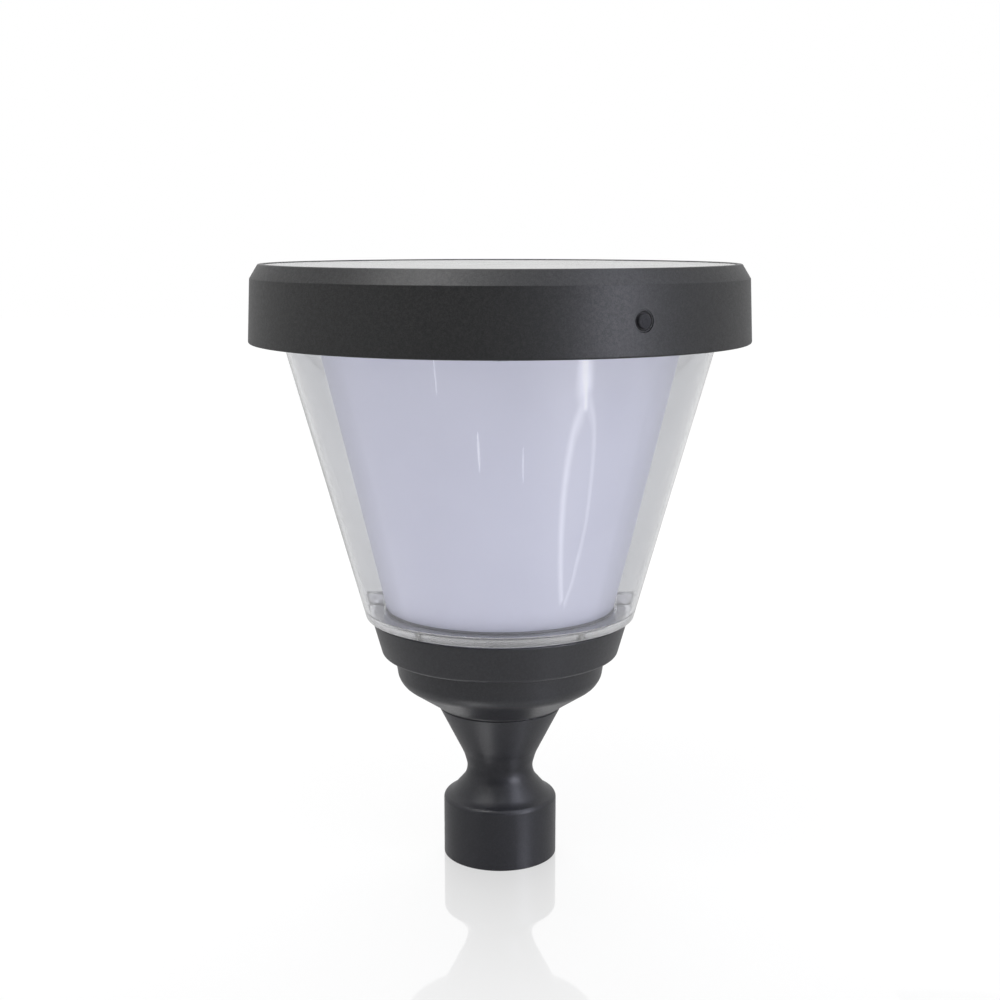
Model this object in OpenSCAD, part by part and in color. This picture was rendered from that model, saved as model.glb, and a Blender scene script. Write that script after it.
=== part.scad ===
// Solar post cap light: a round lamp head on a clear conical shade, carried by a
// stepped cast dish and a waisted neck whose collar slides over a round post.
// The origin is the centre of the collar's bottom face, and Z points up.

/* [Post collar] */
// Diameter of the post that the collar slides over
post_d = 60; // [57:0.5:63]
// Gap between the post and the bore, all round
post_clearance = 0.5; // [0.2:0.05:0.5]
// Wall of the collar round the post
collar_wall = 4.9; // [4.5:0.1:6]
// Depth of the post socket
socket_depth = 35; // [30:0.5:36]
// Rise of the collar's outer shoulder above the socket's roof
shoulder_rise = 2.8; // [2:0.1:6]
// Rounding of the shoulder
shoulder_round = 3.4; // [1:0.1:4]
// Step in from the shoulder to the foot of the bell
bell_inset = 4.9; // [4:0.1:6]
// Rise from the shoulder to the foot of the bell
bell_rise = 2.7; // [2:0.1:3.5]

/* [Neck] */
// Height of the neck above the shoulder
neck_h = 59.1; // [56:0.1:66]
// Radius at which the waist's two slopes would meet
waist_r = 19.2; // [18:0.1:21]
// Rise of that point above the shoulder
waist_rise = 15.7; // [14:0.1:17]
// Radius where the neck's cone starts
throat_r = 22.7; // [22:0.1:25]
// Rise of the cone's start above the shoulder
throat_rise = 28; // [26:0.1:30]
// Radius of the neck's top rim
neck_top_r = 38.5; // [37:0.1:41]
// Radius of the curves that blend the waist
waist_round = 22; // [12:0.5:22]
// Thickness of the web that the tie bolt passes through
web_t = 16; // [12:0.1:17]
// Wall of the hollow neck at its rim
neck_rim_wall = 5.3; // [4.5:0.1:6]
// Wall of the hollow neck at its waist
waist_wall = 5.5; // [4:0.1:7]
// Thickness of the seal between neck and dish
neck_seal_t = 0.5; // [0.3:0.1:1]

/* [Dish] */
// Step out from the neck's rim to the dish's foot
dish_foot_step = 0.6; // [0.4:0.1:2]
// Rise of the sloping underside
slope_h = 15.6; // [13:0.1:18]
// Width of the sloping underside
slope_w = 23.8; // [20:0.1:28]
// Spread of the lower step from its foot to its top
step_draft = 2.7; // [1:0.1:4]
// Height of the lower step
step_h = 17.7; // [15:0.1:20]
// Width of the step under the upper band
band_ledge = 7.3; // [6:0.1:9]
// Spread of the upper band from its foot to its rim
band_draft = 6.4; // [4:0.1:8]
// Height of the upper band
band_h = 22.6; // [18:0.1:26]
// Wall of the casting
dish_wall = 3.2; // [2.6:0.1:3.6]
// Thickness of the casting's floor at its centre
dish_floor_t = 5.6; // [4.5:0.1:8]
// Rounding of the lower step's foot
step_round = 11.5; // [5:0.5:12]
// Rounding of the upper band's foot
band_round = 2.5; // [1:0.1:3]
// Thickness of the seal between dish and shade
dish_seal_t = 1.5; // [1:0.1:2.5]

/* [Clear shade] */
// Overhang of the shade's foot past the dish's rim
lip_w = 3.55; // [2:0.05:5]
// Height of the shade
shade_h = 173.7; // [160:0.1:190]
// Wall of the shade
shade_wall = 2.7; // [2:0.1:3]
// Thickness of the shade's floor
shade_floor_t = 3.5; // [3:0.1:5]
// Height of the ring on the floor that the diffuser stands on
seat_h = 2; // [1.5:0.1:3]
// Width of that ring inside the diffuser's outside
seat_inset = 4; // [3:0.1:5]
// Width of the top flange
flange_w = 14; // [12:0.1:16]
// Thickness of the top flange
flange_t = 3.5; // [3:0.1:5]
// Width of the two lugs that centre the diffuser
lug_w = 7; // [5:0.5:9]
// Height of the lugs above the seat ring
lug_h = 7; // [5:0.5:9]
// Thickness of the seal above the shade
shade_seal_t = 1; // [0.6:0.1:1.5]

/* [Diffuser] */
// Distance between the outsides of shade and diffuser at the foot
foot_gap = 12.35; // [10:0.05:16]
// Distance between the outsides of shade and diffuser at the top
top_gap = 20.3; // [19:0.1:24]
// Wall of the diffuser
diffuser_wall = 2.2; // [1.6:0.1:2.8]
// Height of the foot ring under the diffuser's floor
foot_ring_h = 3.4; // [3:0.1:5]
// Thickness of the seal under the foot ring
foot_seal_t = 0.8; // [0.5:0.1:1.2]
// Thickness of the seal on the diffuser's top flange
top_seal_t = 1.3; // [0.8:0.1:2]

/* [Head] */
// Radius of the skirt at its lower edge
skirt_foot_r = 150; // [149.5:0.1:153]
// Draw of the skirt from its lower edge to the bevel
skirt_draft = 1.7; // [0.5:0.1:3]
// Width of the bevel between skirt and rim
bevel_w = 5.1; // [3:0.1:7]
// Overhang of the skirt past the shade's top
skirt_overhang = 19; // [17:0.1:24]
// Height of the head
head_h = 45.9; // [44.5:0.1:52]
// Height of the bevel between skirt and rim
bevel_h = 8.4; // [7:0.1:10]
// Wall of the head's casting
head_wall = 3; // [2.6:0.1:3.2]
// Drop of the skirt's lower edge below the mounting land
skirt_drop = 9.3; // [8:0.1:12]
// Width of the mounting land
land_w = 8.1; // [7.5:0.1:9]
// Thickness of the mounting land
land_t = 2; // [1.6:0.1:2]
// Thickness of the mounting plate
plate_t = 2.3; // [2:0.1:3]
// Thickness of the seal between plate and land
plate_seal_t = 1; // [0.6:0.1:1.5]

/* [Solar panel] */
// Width of the rim round the glass
rim_w = 3; // [2:0.1:4]
// Gap between the glass and the rim
glass_gap = 0.3; // [0.2:0.05:0.5]
// Thickness of the glass
glass_t = 3.2; // [3:0.1:4]
// Depth of the glass below the rim
glass_recess = 0.4; // [0.3:0.1:1]
// Width of the ledge that carries the glass
ledge_w = 9.2; // [8:0.1:11]
// Thickness of the ledge
ledge_t = 3; // [2.4:0.1:3.6]
// Thickness of the bonded seal under the glass
glass_seal_t = 1.1; // [0.9:0.1:1.6]
// Thickness of a cell
cell_t = 0.4; // [0.2:0.1:0.6]
// Thickness of the backing sheet
backsheet_t = 1.2; // [0.8:0.1:2]
// Depth of one row of cells
cell_depth = 35; // [30:0.5:35]
// Gap between neighbouring cells
cell_gap = 1; // [0.5:0.1:1.5]
// Length that the cells of a row are divided into, at most
cell_length = 66; // [50:1:80]

/* [Power button] */
// Angle of the button from the front, towards the right
button_azimuth = 30; // [25:0.5:35]
// Height of the button above the skirt's lower edge
button_h = 18.8; // [18.8:0.1:20]
// Radius of the cap
cap_r = 4; // [3.5:0.1:4.2]
// Gap between the cap and its boot, all round
cap_clearance = 0.25; // [0.2:0.05:0.3]
// Width of the boot where it shows
boot_w = 1.75; // [1.4:0.05:2.2]
// Distance that the cap stands out from the skirt
cap_proud = 1.4; // [1:0.1:2]
// Travel of the cap
button_travel = 1; // [0.5:0.1:1.2]

/* [Fasteners] */
// Radius of the M4 screws
m4_r = 1.95; // [1.9:0.01:2]
// Radius of the M3 screws
m3_r = 1.45; // [1.4:0.01:1.5]
// Radius of the tie bolt
tie_r = 4.95; // [4.9:0.05:5]
// Radius of the set screws
set_screw_r = 2.95; // [2.9:0.01:2.96]
// Length of the screws that hold the head to its plate
plate_screw_l = 11.5; // [10:0.5:13]
// Length of the screws that hold the dish under the shade
floor_screw_l = 16; // [14:0.5:20]
// Length of the set screws
set_screw_l = 4.3; // [4:0.1:4.3]
// Height of the set screws above the collar's bottom face
set_screw_z = 18; // [15:0.5:22]
// Clearance round a screw in a tapped or moulded hole
thread_gap = 0.05; // [0.03:0.01:0.08]
// Clearance round a screw in a plain hole
hole_gap = 0.3; // [0.2:0.05:0.4]
// Clearance between parts that slip together
slip_gap = 0.1; // [0.1:0.05:0.2]

/* [Battery] */
// Radius of one cell
battery_r = 9.2; // [9:0.1:9.3]
// Length of one cell
battery_l = 65; // [60:1:66]
// Number of cells side by side
battery_count = 4; // [2:1:4]
// Wall of the battery tray
tray_wall = 1.6; // [1.2:0.1:2]
// Height of the tray's sides
tray_h = 9; // [6:0.5:10]
// Thickness of the strap over the cells
strap_t = 0.8; // [0.6:0.1:1]
// Width of the strap
strap_w = 12; // [8:1:16]

/* [Electronics] */
// Length of the controller board
board_l = 70; // [66:1:76]
// Width of the controller board
board_w = 50; // [48:1:54]
// Thickness of the circuit boards
board_t = 1.6; // [1.2:0.1:2]
// Height of the spacers under the controller board
spacer_h = 6; // [5:0.1:7]
// Distance of the lamp board's edge from the diffuser's outside
led_board_inset = 15.7; // [8:0.1:24]
// Side of one light chip
chip_s = 3; // [2:0.1:4]
// Height of one light chip
chip_h = 0.8; // [0.5:0.1:1]
// Number of rings of chips
chip_rings = 3; // [2:1:3]
// Distance between two rings of chips
chip_ring_step = 22; // [16:0.5:24]
// Distance of the outer ring of chips from the board's screws
chip_margin = 14; // [8:0.5:20]
// Radius of one lead
lead_r = 0.8; // [0.6:0.1:0.9]

/* [Hidden] */
$fn = 96;

// Angle that one segment of a rounded corner turns through
arc_step = 12;

// Pan-head screws: radius and height of the heads
m4_head_r = 1.95 * m4_r;
m4_head_h = 1.2 * m4_r;
m3_head_r = 1.95 * m3_r;
m3_head_h = 1.2 * m3_r;

// Radii of the stack, each from the one it sits on
shoulder_h = socket_depth + shoulder_rise;
dish_foot_r = neck_top_r + dish_foot_step;
step_foot_r = dish_foot_r + slope_w;
step_top_r = step_foot_r + step_draft;
band_foot_r = step_top_r + band_ledge;
band_rim_r = band_foot_r + band_draft;
shade_foot_r = band_rim_r + lip_w;
diffuser_foot_r = shade_foot_r - foot_gap;
seat_r = diffuser_foot_r - seat_inset;
shade_top_r = skirt_foot_r - skirt_overhang;
flange_r = shade_top_r - flange_w;
diffuser_top_r = shade_top_r - top_gap;
diffuser_flange_r = flange_r - 3;
skirt_top_r = skirt_foot_r - skirt_draft;
rim_r = skirt_top_r - bevel_w;
glass_pocket_r = rim_r - rim_w;
glass_r = glass_pocket_r - glass_gap;
ledge_r = glass_pocket_r - ledge_w;
cells_r = ledge_r - 4;
boot_bore_r = cap_r + cap_clearance;
boot_r = boot_bore_r + boot_w;
led_board_r = diffuser_top_r - led_board_inset;

// The collar's socket, the pocket for the bolt's head above it, and the web over that
bore_r = post_d / 2 + post_clearance;
collar_r = bore_r + collar_wall;
washer_t = 2;
tie_head_h = 6.4;
tie_nut_h = 8;
tie_head_r = 9.2;
tie_nut_r = 9.8;
washer_r = 10;
pocket_r = 16;
pocket_h = tie_head_h + washer_t + 1.1;
web_z = socket_depth + pocket_h;
tie_hole_r = tie_r + hole_gap;
cavity_r = throat_r - 1.2 - waist_wall;

// Bosses that take the shade's floor screws
dish_boss_r = 2.15 * m4_r;

// Heights of the stack, from the collar's bottom face up
neck_top_z = shoulder_h + neck_h;
dish_z = neck_top_z + neck_seal_t;
slope_z = dish_z + 0.7;
step_z = slope_z + slope_h;
band_z = step_z + step_h;
dish_top_z = band_z + band_h;
shade_z = dish_top_z + dish_seal_t;
floor_z = shade_z + shade_floor_t;
seat_z = floor_z + seat_h;
shade_top_z = shade_z + shade_h;
plate_z = shade_top_z + shade_seal_t;
plate_top_z = plate_z + plate_t;
land_z = plate_top_z + plate_seal_t;
land_top_z = land_z + land_t;
head_z = land_z - skirt_drop;
head_top_z = head_z + head_h;
bevel_z = head_top_z - bevel_h;
diffuser_z = seat_z + foot_seal_t;
diffuser_top_z = plate_z - top_seal_t;
glass_top_z = head_top_z - glass_recess;
glass_z = glass_top_z - glass_t;
ledge_z = glass_z - glass_seal_t;
cell_z = glass_z - cell_t;
backsheet_z = cell_z - backsheet_t;
button_z = head_z + button_h;

// The spigot under the dish, and the recess in the neck's rim that takes it
spigot_h = 3;
recess_h = 4;
recess_r = neck_top_r - neck_rim_wall;
spigot_r = recess_r - slip_gap;

// Rings of fasteners: radius of the ring, count, and angle of the first
land_outer_r = skirt_r(land_z) - head_wall;
land_r = land_outer_r - land_w;
plate_ring_r = land_outer_r - land_w / 2;
shade_ring_r = flange_r + 4.5;
ring_count = 6;
ring_first = 30;
floor_ring_r = step_top_r - dish_wall - dish_boss_r + 0.3;
led_ring_r = led_board_r - 7;
four_count = 4;
four_first = 45;

// The mounting plate, inside the skirt
plate_r = land_outer_r - 0.4;

// The button's seat on the inside of the skirt, and the parts behind it
boot_flange_r = boot_r + 1;
boot_flange_t = 2;
boot_seat = skirt_r(button_z) - head_wall - 0.15;
boot_rear = boot_seat - boot_flange_t;
boot_front = skirt_r(button_z) - 0.5;
cap_front = skirt_r(button_z) + cap_proud;
cap_flange_r = boot_r + 0.2;
cap_flange_t = 1.2;
cap_rear = boot_rear - 0.3 - cap_flange_t;
switch_gap = 2;
switch_front = cap_rear - button_travel - switch_gap;
switch_depth = 4;
switch_rear = switch_front - switch_depth;
switch_side = 8;
switch_board_rear = switch_rear - board_t;
bracket_t = 1.8;
bracket_rear = switch_board_rear - bracket_t;
bracket_w = 20;
bracket_foot = 17;
bracket_h = 19;
bracket_screw_s = bracket_rear + bracket_t - bracket_foot / 2 - 1;
bracket_screw_t = 5;
switch_board_w = 16;
switch_board_h = 15;
plunger_r = 1.5;
plunger_bore_r = plunger_r + 0.1;
plunger_depth = 2.4;

// Battery pack, behind the centre, and controller, in front of it
battery_pitch = 2 * battery_r + 0.6;
battery_y = 14;
battery_z = plate_top_z + tray_wall + slip_gap + battery_r;
tray_half = (battery_count - 1) / 2 * battery_pitch + battery_r + 0.3;
strap_x = tray_half + tray_wall + 0.6;
strap_foot = 10;
strap_screw_x = strap_x + strap_t + strap_foot / 2;
board_y = -50;
board_z = plate_top_z + spacer_h;
board_top_z = board_z + board_t;
board_hole_x = board_l / 2 - 4;
board_hole_y = board_w / 2 - 4;
spacer_r = 3;
lead_pitch = 1.2;

// Connectors on the controller: the panel's, the battery's and the switch's
plug_l = 10;
plug_w = 8;
plug_h = 7;
panel_plug_x = -8;
battery_plug_x = 15;
battery_plug_y = board_y + board_w / 2 - 5;
switch_plug_s = 60;
switch_plug_w = 6;

// Coil, capacitor and chip on the controller
coil_x = -24;
coil_y = board_y + 12;
coil_r = 6;
coil_t = 3.5;
coil_h = 6;
capacitor_x = 3;
capacitor_y = board_y - 18.5;
capacitor_r = 5;
capacitor_h = 11;
chip_x = -16;
chip_y = board_y - 12;
chip_l = 9;
chip_t = 1.6;

// The grommet for the lamp leads, under the controller board
grommet_x = -20;
grommet_y = -45;
grommet_r = 4;
lead_hole_r = 2.6;

// Junction box under the panel's backing sheet
junction_l = 40;
junction_w = 24;
junction_h = 9;
junction_z = backsheet_z - junction_h;

function skirt_r(z) = skirt_foot_r + (z - head_z) * (skirt_top_r - skirt_foot_r) / (bevel_z - head_z);
function shade_r(z) = shade_foot_r + (z - shade_z) * (shade_top_r - shade_foot_r) / shade_h;
function shade_inner_r(z) = shade_r(z) - shade_wall;
function diffuser_r(z) = diffuser_foot_r
    + (z - diffuser_z) * (diffuser_top_r - diffuser_foot_r) / (diffuser_top_z - diffuser_z);
function diffuser_inner_r(z) = diffuser_r(z) - diffuser_wall;

function unit(v) = v / norm(v);
function turned(a) = a > 180 ? a - 360 : a < -180 ? a + 360 : a;

// The arc that rounds corner b, between its neighbours a and c, limited by both sides
function corner_arc(a, b, c, radius) =
    let (
        u = unit(a - b),
        v = unit(c - b),
        half = acos(u * v) / 2,
        reach = min(radius / tan(half), 0.48 * norm(a - b), 0.48 * norm(c - b)),
        r = reach * tan(half),
        centre = b + unit(u + v) * r / sin(half),
        first = b + u * reach - centre,
        last = b + v * reach - centre,
        start = atan2(first.y, first.x),
        sweep = turned(atan2(last.y, last.x) - start),
        steps = max(2, ceil(abs(sweep) / arc_step))
    )
    [for (i = [0:steps]) centre + r * [cos(start + sweep * i / steps), sin(start + sweep * i / steps)]];

// A closed outline from corners [radius, height, rounding], where rounding may be left out
function outline(corners) =
    let (n = len(corners), flat = [for (p = corners) [p.x, p.y]])
    [for (i = [0:n - 1])
        each (len(corners[i]) < 3
            ? [flat[i]]
            : corner_arc(flat[(i + n - 1) % n], flat[i], flat[(i + 1) % n], corners[i].z))];

module revolve(corners) {
    rotate_extrude()
        polygon(outline(corners));
}

// A flat ring from height z up
module ring(outer_r, inner_r, z, h) {
    translate([0, 0, z])
        difference() {
            cylinder(r = outer_r, h = h);
            translate([0, 0, -1])
                cylinder(r = inner_r, h = h + 2);
        }
}

// Copies of a child on a ring of fasteners
module on_ring(radius, count, first = 0) {
    for (i = [0:count - 1])
        rotate([0, 0, first + i * 360 / count])
            translate([radius, 0, 0])
                children();
}

// Copies of a child at the four corners of a rectangle
module at_corners(half_x, half_y) {
    for (x = [-half_x, half_x], y = [-half_y, half_y])
        translate([x, y, 0])
            children();
}

// A hole or a shank from height z up
module rod(radius, z, h) {
    translate([0, 0, z])
        cylinder(r = radius, h = h);
}

// A block standing at height z, centred on the Z axis
module block(size, z) {
    translate([-size.x / 2, -size.y / 2, z])
        cube(size);
}

// A pan-head screw whose head sits on the face at height z and whose shank points down
module pan_screw(shank_r, head_r, head_h, length, z) {
    revolve([
        [0, z - length],
        [shank_r - 0.4, z - length],
        [shank_r, z - length + 0.6],
        [shank_r, z],
        [head_r, z],
        [head_r, z + head_h, head_h * 0.7],
        [0, z + head_h]
    ]);
}

// The same screw turned over: its head hangs under the face at height z
module pan_screw_up(shank_r, head_r, head_h, length, z) {
    mirror([0, 0, 1])
        pan_screw(shank_r, head_r, head_h, length, -z);
}

// Places a child whose Z axis points outwards through the button's centre
module at_button() {
    rotate([0, 0, button_azimuth - 90])
        translate([0, 0, button_z])
            rotate([0, 90, 0])
                children();
}

// Places a child whose X axis points outwards below the button, at its own height
module below_button(distance) {
    rotate([0, 0, button_azimuth - 90])
        translate([distance, 0, 0])
            children();
}

// Places a child whose Z axis points outwards through a set screw's centre
module at_set_screw(side) {
    translate([0, 0, set_screw_z])
        rotate([0, side * 90, 0])
            children();
}

// ---- Lamp head ----

// Cast ring with a bevelled rim, a ledge for the glass and a land for the mounting plate
module head_housing() {
    boss_h = plate_screw_l - plate_t;
    color("#3d3e40")
        difference() {
            union() {
                revolve([
                    [rim_r, head_top_z, 1.2],
                    [skirt_top_r, bevel_z, 1],
                    [skirt_foot_r, head_z, 0.9],
                    [skirt_foot_r - head_wall + 0.2, head_z, 0.6],
                    [land_outer_r, land_z],
                    [land_r, land_z],
                    [land_r, land_top_z, 0.4],
                    [skirt_r(land_top_z) - head_wall, land_top_z, 0.8],
                    [skirt_top_r - head_wall, ledge_z - ledge_t, 5],
                    [ledge_r, ledge_z - ledge_t, 0.5],
                    [ledge_r, ledge_z, 0.3],
                    [glass_pocket_r, ledge_z],
                    [glass_pocket_r, head_top_z, 0.5]
                ]);
                on_ring(plate_ring_r, ring_count, ring_first)
                    rod(2.3 * m4_r, land_top_z - land_t / 4, boss_h);
            }
            on_ring(plate_ring_r, ring_count, ring_first)
                rod(m4_r + thread_gap, land_z - 1, land_t + boss_h);
            at_button() {
                rod(boot_r + slip_gap, boot_rear, 20);
                rod(boot_flange_r + hole_gap, boot_rear - 8, boot_flange_t + 8);
            }
        }
}

module panel_glass() {
    color("#aebcc4", 0.35)
        revolve([
            [0, glass_z],
            [glass_r, glass_z, 0.4],
            [glass_r, glass_top_z, 0.6],
            [0, glass_top_z]
        ]);
}

module panel_seal() {
    color("#1c1d1e")
        ring(glass_r - 0.2, ledge_r + 1.5, ledge_z, glass_seal_t);
}

// Rows of cells, each cut to the length that the round panel leaves, and then divided
module solar_cells() {
    pitch = cell_depth + cell_gap;
    rows = floor(2 * cells_r / pitch / 2) * 2;
    color("#1a2233")
        for (i = [0:rows - 1]) {
            y = (i - (rows - 1) / 2) * pitch;
            half = sqrt(pow(cells_r, 2) - pow(abs(y) + cell_depth / 2, 2));
            count = ceil(2 * half / cell_length);
            length = (2 * half - (count - 1) * cell_gap) / count;
            for (j = [0:count - 1])
                translate([-half + j * (length + cell_gap), y - cell_depth / 2, cell_z])
                    cube([length, cell_depth, cell_t]);
        }
}

module panel_backsheet() {
    color("#24272b")
        rod(ledge_r - 0.6, backsheet_z, backsheet_t);
}

module junction_box() {
    color("#202122")
        translate([0, board_y, 0])
            block([junction_l, junction_w, junction_h], junction_z);
}

// Round sheet that closes the head from below and carries everything inside it
module mounting_plate() {
    through = plate_t + 2;
    low = plate_z - 1;
    color("#8f9295")
        difference() {
            rod(plate_r, plate_z, plate_t);
            on_ring(plate_ring_r, ring_count, ring_first)
                rod(m4_r + hole_gap, low, through);
            on_ring(shade_ring_r, ring_count, ring_first)
                rod(m4_r + hole_gap, low, through);
            on_ring(led_ring_r, four_count, four_first)
                rod(m3_r + thread_gap, low, through);
            translate([0, board_y, 0])
                at_corners(board_hole_x, board_hole_y)
                    rod(m3_r + thread_gap, low, through);
            translate([0, battery_y + battery_l / 2, 0])
                for (side = [-1, 1])
                    translate([side * strap_screw_x, 0, 0])
                        rod(m3_r + thread_gap, low, through);
            below_button(bracket_screw_s)
                for (side = [-1, 1])
                    translate([0, side * bracket_screw_t, 0])
                        rod(m3_r + thread_gap, low, through);
            translate([grommet_x, grommet_y, 0])
                rod(grommet_r, low, through);
        }
}

module plate_seal() {
    color("#1c1d1e")
        difference() {
            ring(plate_r - 0.3, land_r + 0.5, plate_top_z, plate_seal_t);
            on_ring(plate_ring_r, ring_count, ring_first)
                rod(m4_r + hole_gap, plate_top_z - 1, plate_seal_t + 2);
        }
}

module plate_screws() {
    color("#b9babc")
        on_ring(plate_ring_r, ring_count, ring_first)
            pan_screw_up(m4_r, m4_head_r, m4_head_h, plate_screw_l, plate_z);
}

// ---- Battery ----

module battery_cells() {
    color("#3a6ea5")
        for (i = [0:battery_count - 1])
            translate([(i - (battery_count - 1) / 2) * battery_pitch, battery_y, battery_z])
                rotate([-90, 0, 0])
                    revolve([
                        [0, 0],
                        [battery_r, 0, 1],
                        [battery_r, battery_l, 1],
                        [0, battery_l]
                    ]);
}

// Open tray that keeps the cells side by side
module battery_tray() {
    length = battery_l + 0.6;
    color("#2b2c2e")
        translate([0, battery_y + battery_l / 2, 0])
            difference() {
                block([2 * (tray_half + tray_wall), length + 2 * tray_wall, tray_h], plate_top_z);
                block([2 * tray_half, length, tray_h], plate_top_z + tray_wall);
            }
}

// Steel band over the cells, with a screwed foot on each side of the tray
module battery_strap() {
    top = battery_z + battery_r + 0.1;
    foot_end = strap_x + strap_t + strap_foot;
    color("#c4c6c8")
        translate([0, battery_y + battery_l / 2, 0])
            difference() {
                translate([0, strap_w / 2, 0])
                    rotate([90, 0, 0])
                        linear_extrude(strap_w)
                            polygon([
                                [-foot_end, plate_top_z],
                                [-strap_x, plate_top_z],
                                [-strap_x, top],
                                [strap_x, top],
                                [strap_x, plate_top_z],
                                [foot_end, plate_top_z],
                                [foot_end, plate_top_z + strap_t],
                                [strap_x + strap_t, plate_top_z + strap_t],
                                [strap_x + strap_t, top + strap_t],
                                [-strap_x - strap_t, top + strap_t],
                                [-strap_x - strap_t, plate_top_z + strap_t],
                                [-foot_end, plate_top_z + strap_t]
                            ]);
                for (side = [-1, 1])
                    translate([side * strap_screw_x, 0, 0])
                        rod(m3_r + hole_gap, plate_top_z - 1, strap_t + 2);
            }
}

module battery_screws() {
    color("#b9babc")
        translate([0, battery_y + battery_l / 2, 0])
            for (side = [-1, 1])
                translate([side * strap_screw_x, 0, 0])
                    pan_screw(m3_r, m3_head_r, m3_head_h, strap_t + plate_t - 0.3, plate_top_z + strap_t);
}

// ---- Controller ----

module controller_board() {
    color("#1f5c3a")
        translate([0, board_y, 0])
            difference() {
                block([board_l, board_w, board_t], board_z);
                at_corners(board_hole_x, board_hole_y)
                    rod(m3_r + hole_gap, board_z - 1, board_t + 2);
            }
}

// Coil, capacitor, chip and the three connectors, soldered to the board's top face
module controller_parts() {
    color("#2a2a2c") {
        translate([panel_plug_x, board_y, 0])
            block([plug_l, plug_w, plug_h], board_top_z);
        translate([battery_plug_x, battery_plug_y, 0])
            block([plug_l, plug_w, plug_h], board_top_z);
        below_button(switch_plug_s)
            block([plug_w, switch_plug_w, plug_h], board_top_z);
        translate([coil_x, coil_y, 0])
            ring(coil_r, coil_r - coil_t, board_top_z, coil_h);
        translate([capacitor_x, capacitor_y, 0])
            rod(capacitor_r, board_top_z, capacitor_h);
        translate([chip_x, chip_y, 0])
            block([chip_l, chip_l, chip_t], board_top_z);
    }
}

module board_spacers() {
    color("#d8d8d4")
        translate([0, board_y, 0])
            at_corners(board_hole_x, board_hole_y)
                ring(spacer_r, m3_r + hole_gap, plate_top_z, spacer_h);
}

module board_screws() {
    color("#b9babc")
        translate([0, board_y, 0])
            at_corners(board_hole_x, board_hole_y)
                pan_screw(m3_r, m3_head_r, m3_head_h, board_t + spacer_h + plate_t - 0.3, board_top_z);
}

// ---- Power button ----

// Angle bracket that holds the switch board upright behind the button
module switch_bracket() {
    color("#c4c6c8")
        difference() {
            below_button(bracket_rear + bracket_t)
                translate([0, bracket_w / 2, 0])
                    rotate([90, 0, 0])
                        linear_extrude(bracket_w)
                            polygon([
                                [-bracket_foot, plate_top_z],
                                [0, plate_top_z],
                                [0, plate_top_z + bracket_h],
                                [-bracket_t, plate_top_z + bracket_h],
                                [-bracket_t, plate_top_z + bracket_t],
                                [-bracket_foot, plate_top_z + bracket_t]
                            ]);
            below_button(bracket_screw_s)
                for (side = [-1, 1])
                    translate([0, side * bracket_screw_t, 0])
                        rod(m3_r + hole_gap, plate_top_z - 1, bracket_t + 2);
            at_button()
                rod(lead_hole_r, bracket_rear - 1, bracket_t + 2);
        }
}

module bracket_screws() {
    color("#b9babc")
        below_button(bracket_screw_s)
            for (side = [-1, 1])
                translate([0, side * bracket_screw_t, 0])
                    pan_screw(m3_r, m3_head_r, m3_head_h, bracket_t + plate_t - 0.3, plate_top_z + bracket_t);
}

module switch_board() {
    color("#1f5c3a")
        below_button(switch_board_rear + board_t / 2)
            block([board_t, switch_board_w, switch_board_h], button_z - switch_board_h / 2);
}

// Push switch with a round well for its plunger
module button_switch() {
    color("#26272a")
        difference() {
            below_button(switch_rear + switch_depth / 2)
                block([switch_depth, switch_side, switch_side], button_z - switch_side / 2);
            at_button()
                rod(plunger_bore_r, switch_front - plunger_depth - button_travel - 0.2, 20);
        }
}

module switch_plunger() {
    color("#e6e6e2")
        at_button()
            rod(plunger_r, switch_front - plunger_depth, cap_rear - switch_front + plunger_depth);
}

// Silicone cap with a flange that keeps it behind its boot
module power_button() {
    color("#2d2e31")
        at_button()
            revolve([
                [0, cap_rear],
                [cap_flange_r, cap_rear],
                [cap_flange_r, cap_rear + cap_flange_t],
                [cap_r, cap_rear + cap_flange_t],
                [cap_r, cap_front - 0.2, 0.9],
                [0, cap_front]
            ]);
}

// Silicone boot: a grooved ring in the skirt, with a flange against the skirt's inside
module button_boot() {
    color("#222326")
        at_button()
            revolve([
                [boot_bore_r, boot_rear],
                [boot_flange_r, boot_rear],
                [boot_flange_r, boot_seat],
                [boot_r, boot_seat],
                [boot_r, boot_front, 0.3],
                [boot_r - 0.7, boot_front, 0.2],
                [boot_bore_r + 0.6, boot_front - 0.7],
                [boot_bore_r + 0.3, boot_front - 0.3],
                [boot_bore_r, boot_front - 0.3]
            ]);
}

// ---- Leads inside the head ----

module lead_grommet() {
    color("#1c1d1e")
        translate([grommet_x, grommet_y, 0])
            revolve([
                [lead_hole_r, plate_z],
                [grommet_r - slip_gap, plate_z],
                [grommet_r - slip_gap, plate_top_z],
                [grommet_r + 1.5, plate_top_z],
                [grommet_r + 1.5, plate_top_z + 1, 0.5],
                [lead_hole_r, plate_top_z + 1, 0.5]
            ]);
}

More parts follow.
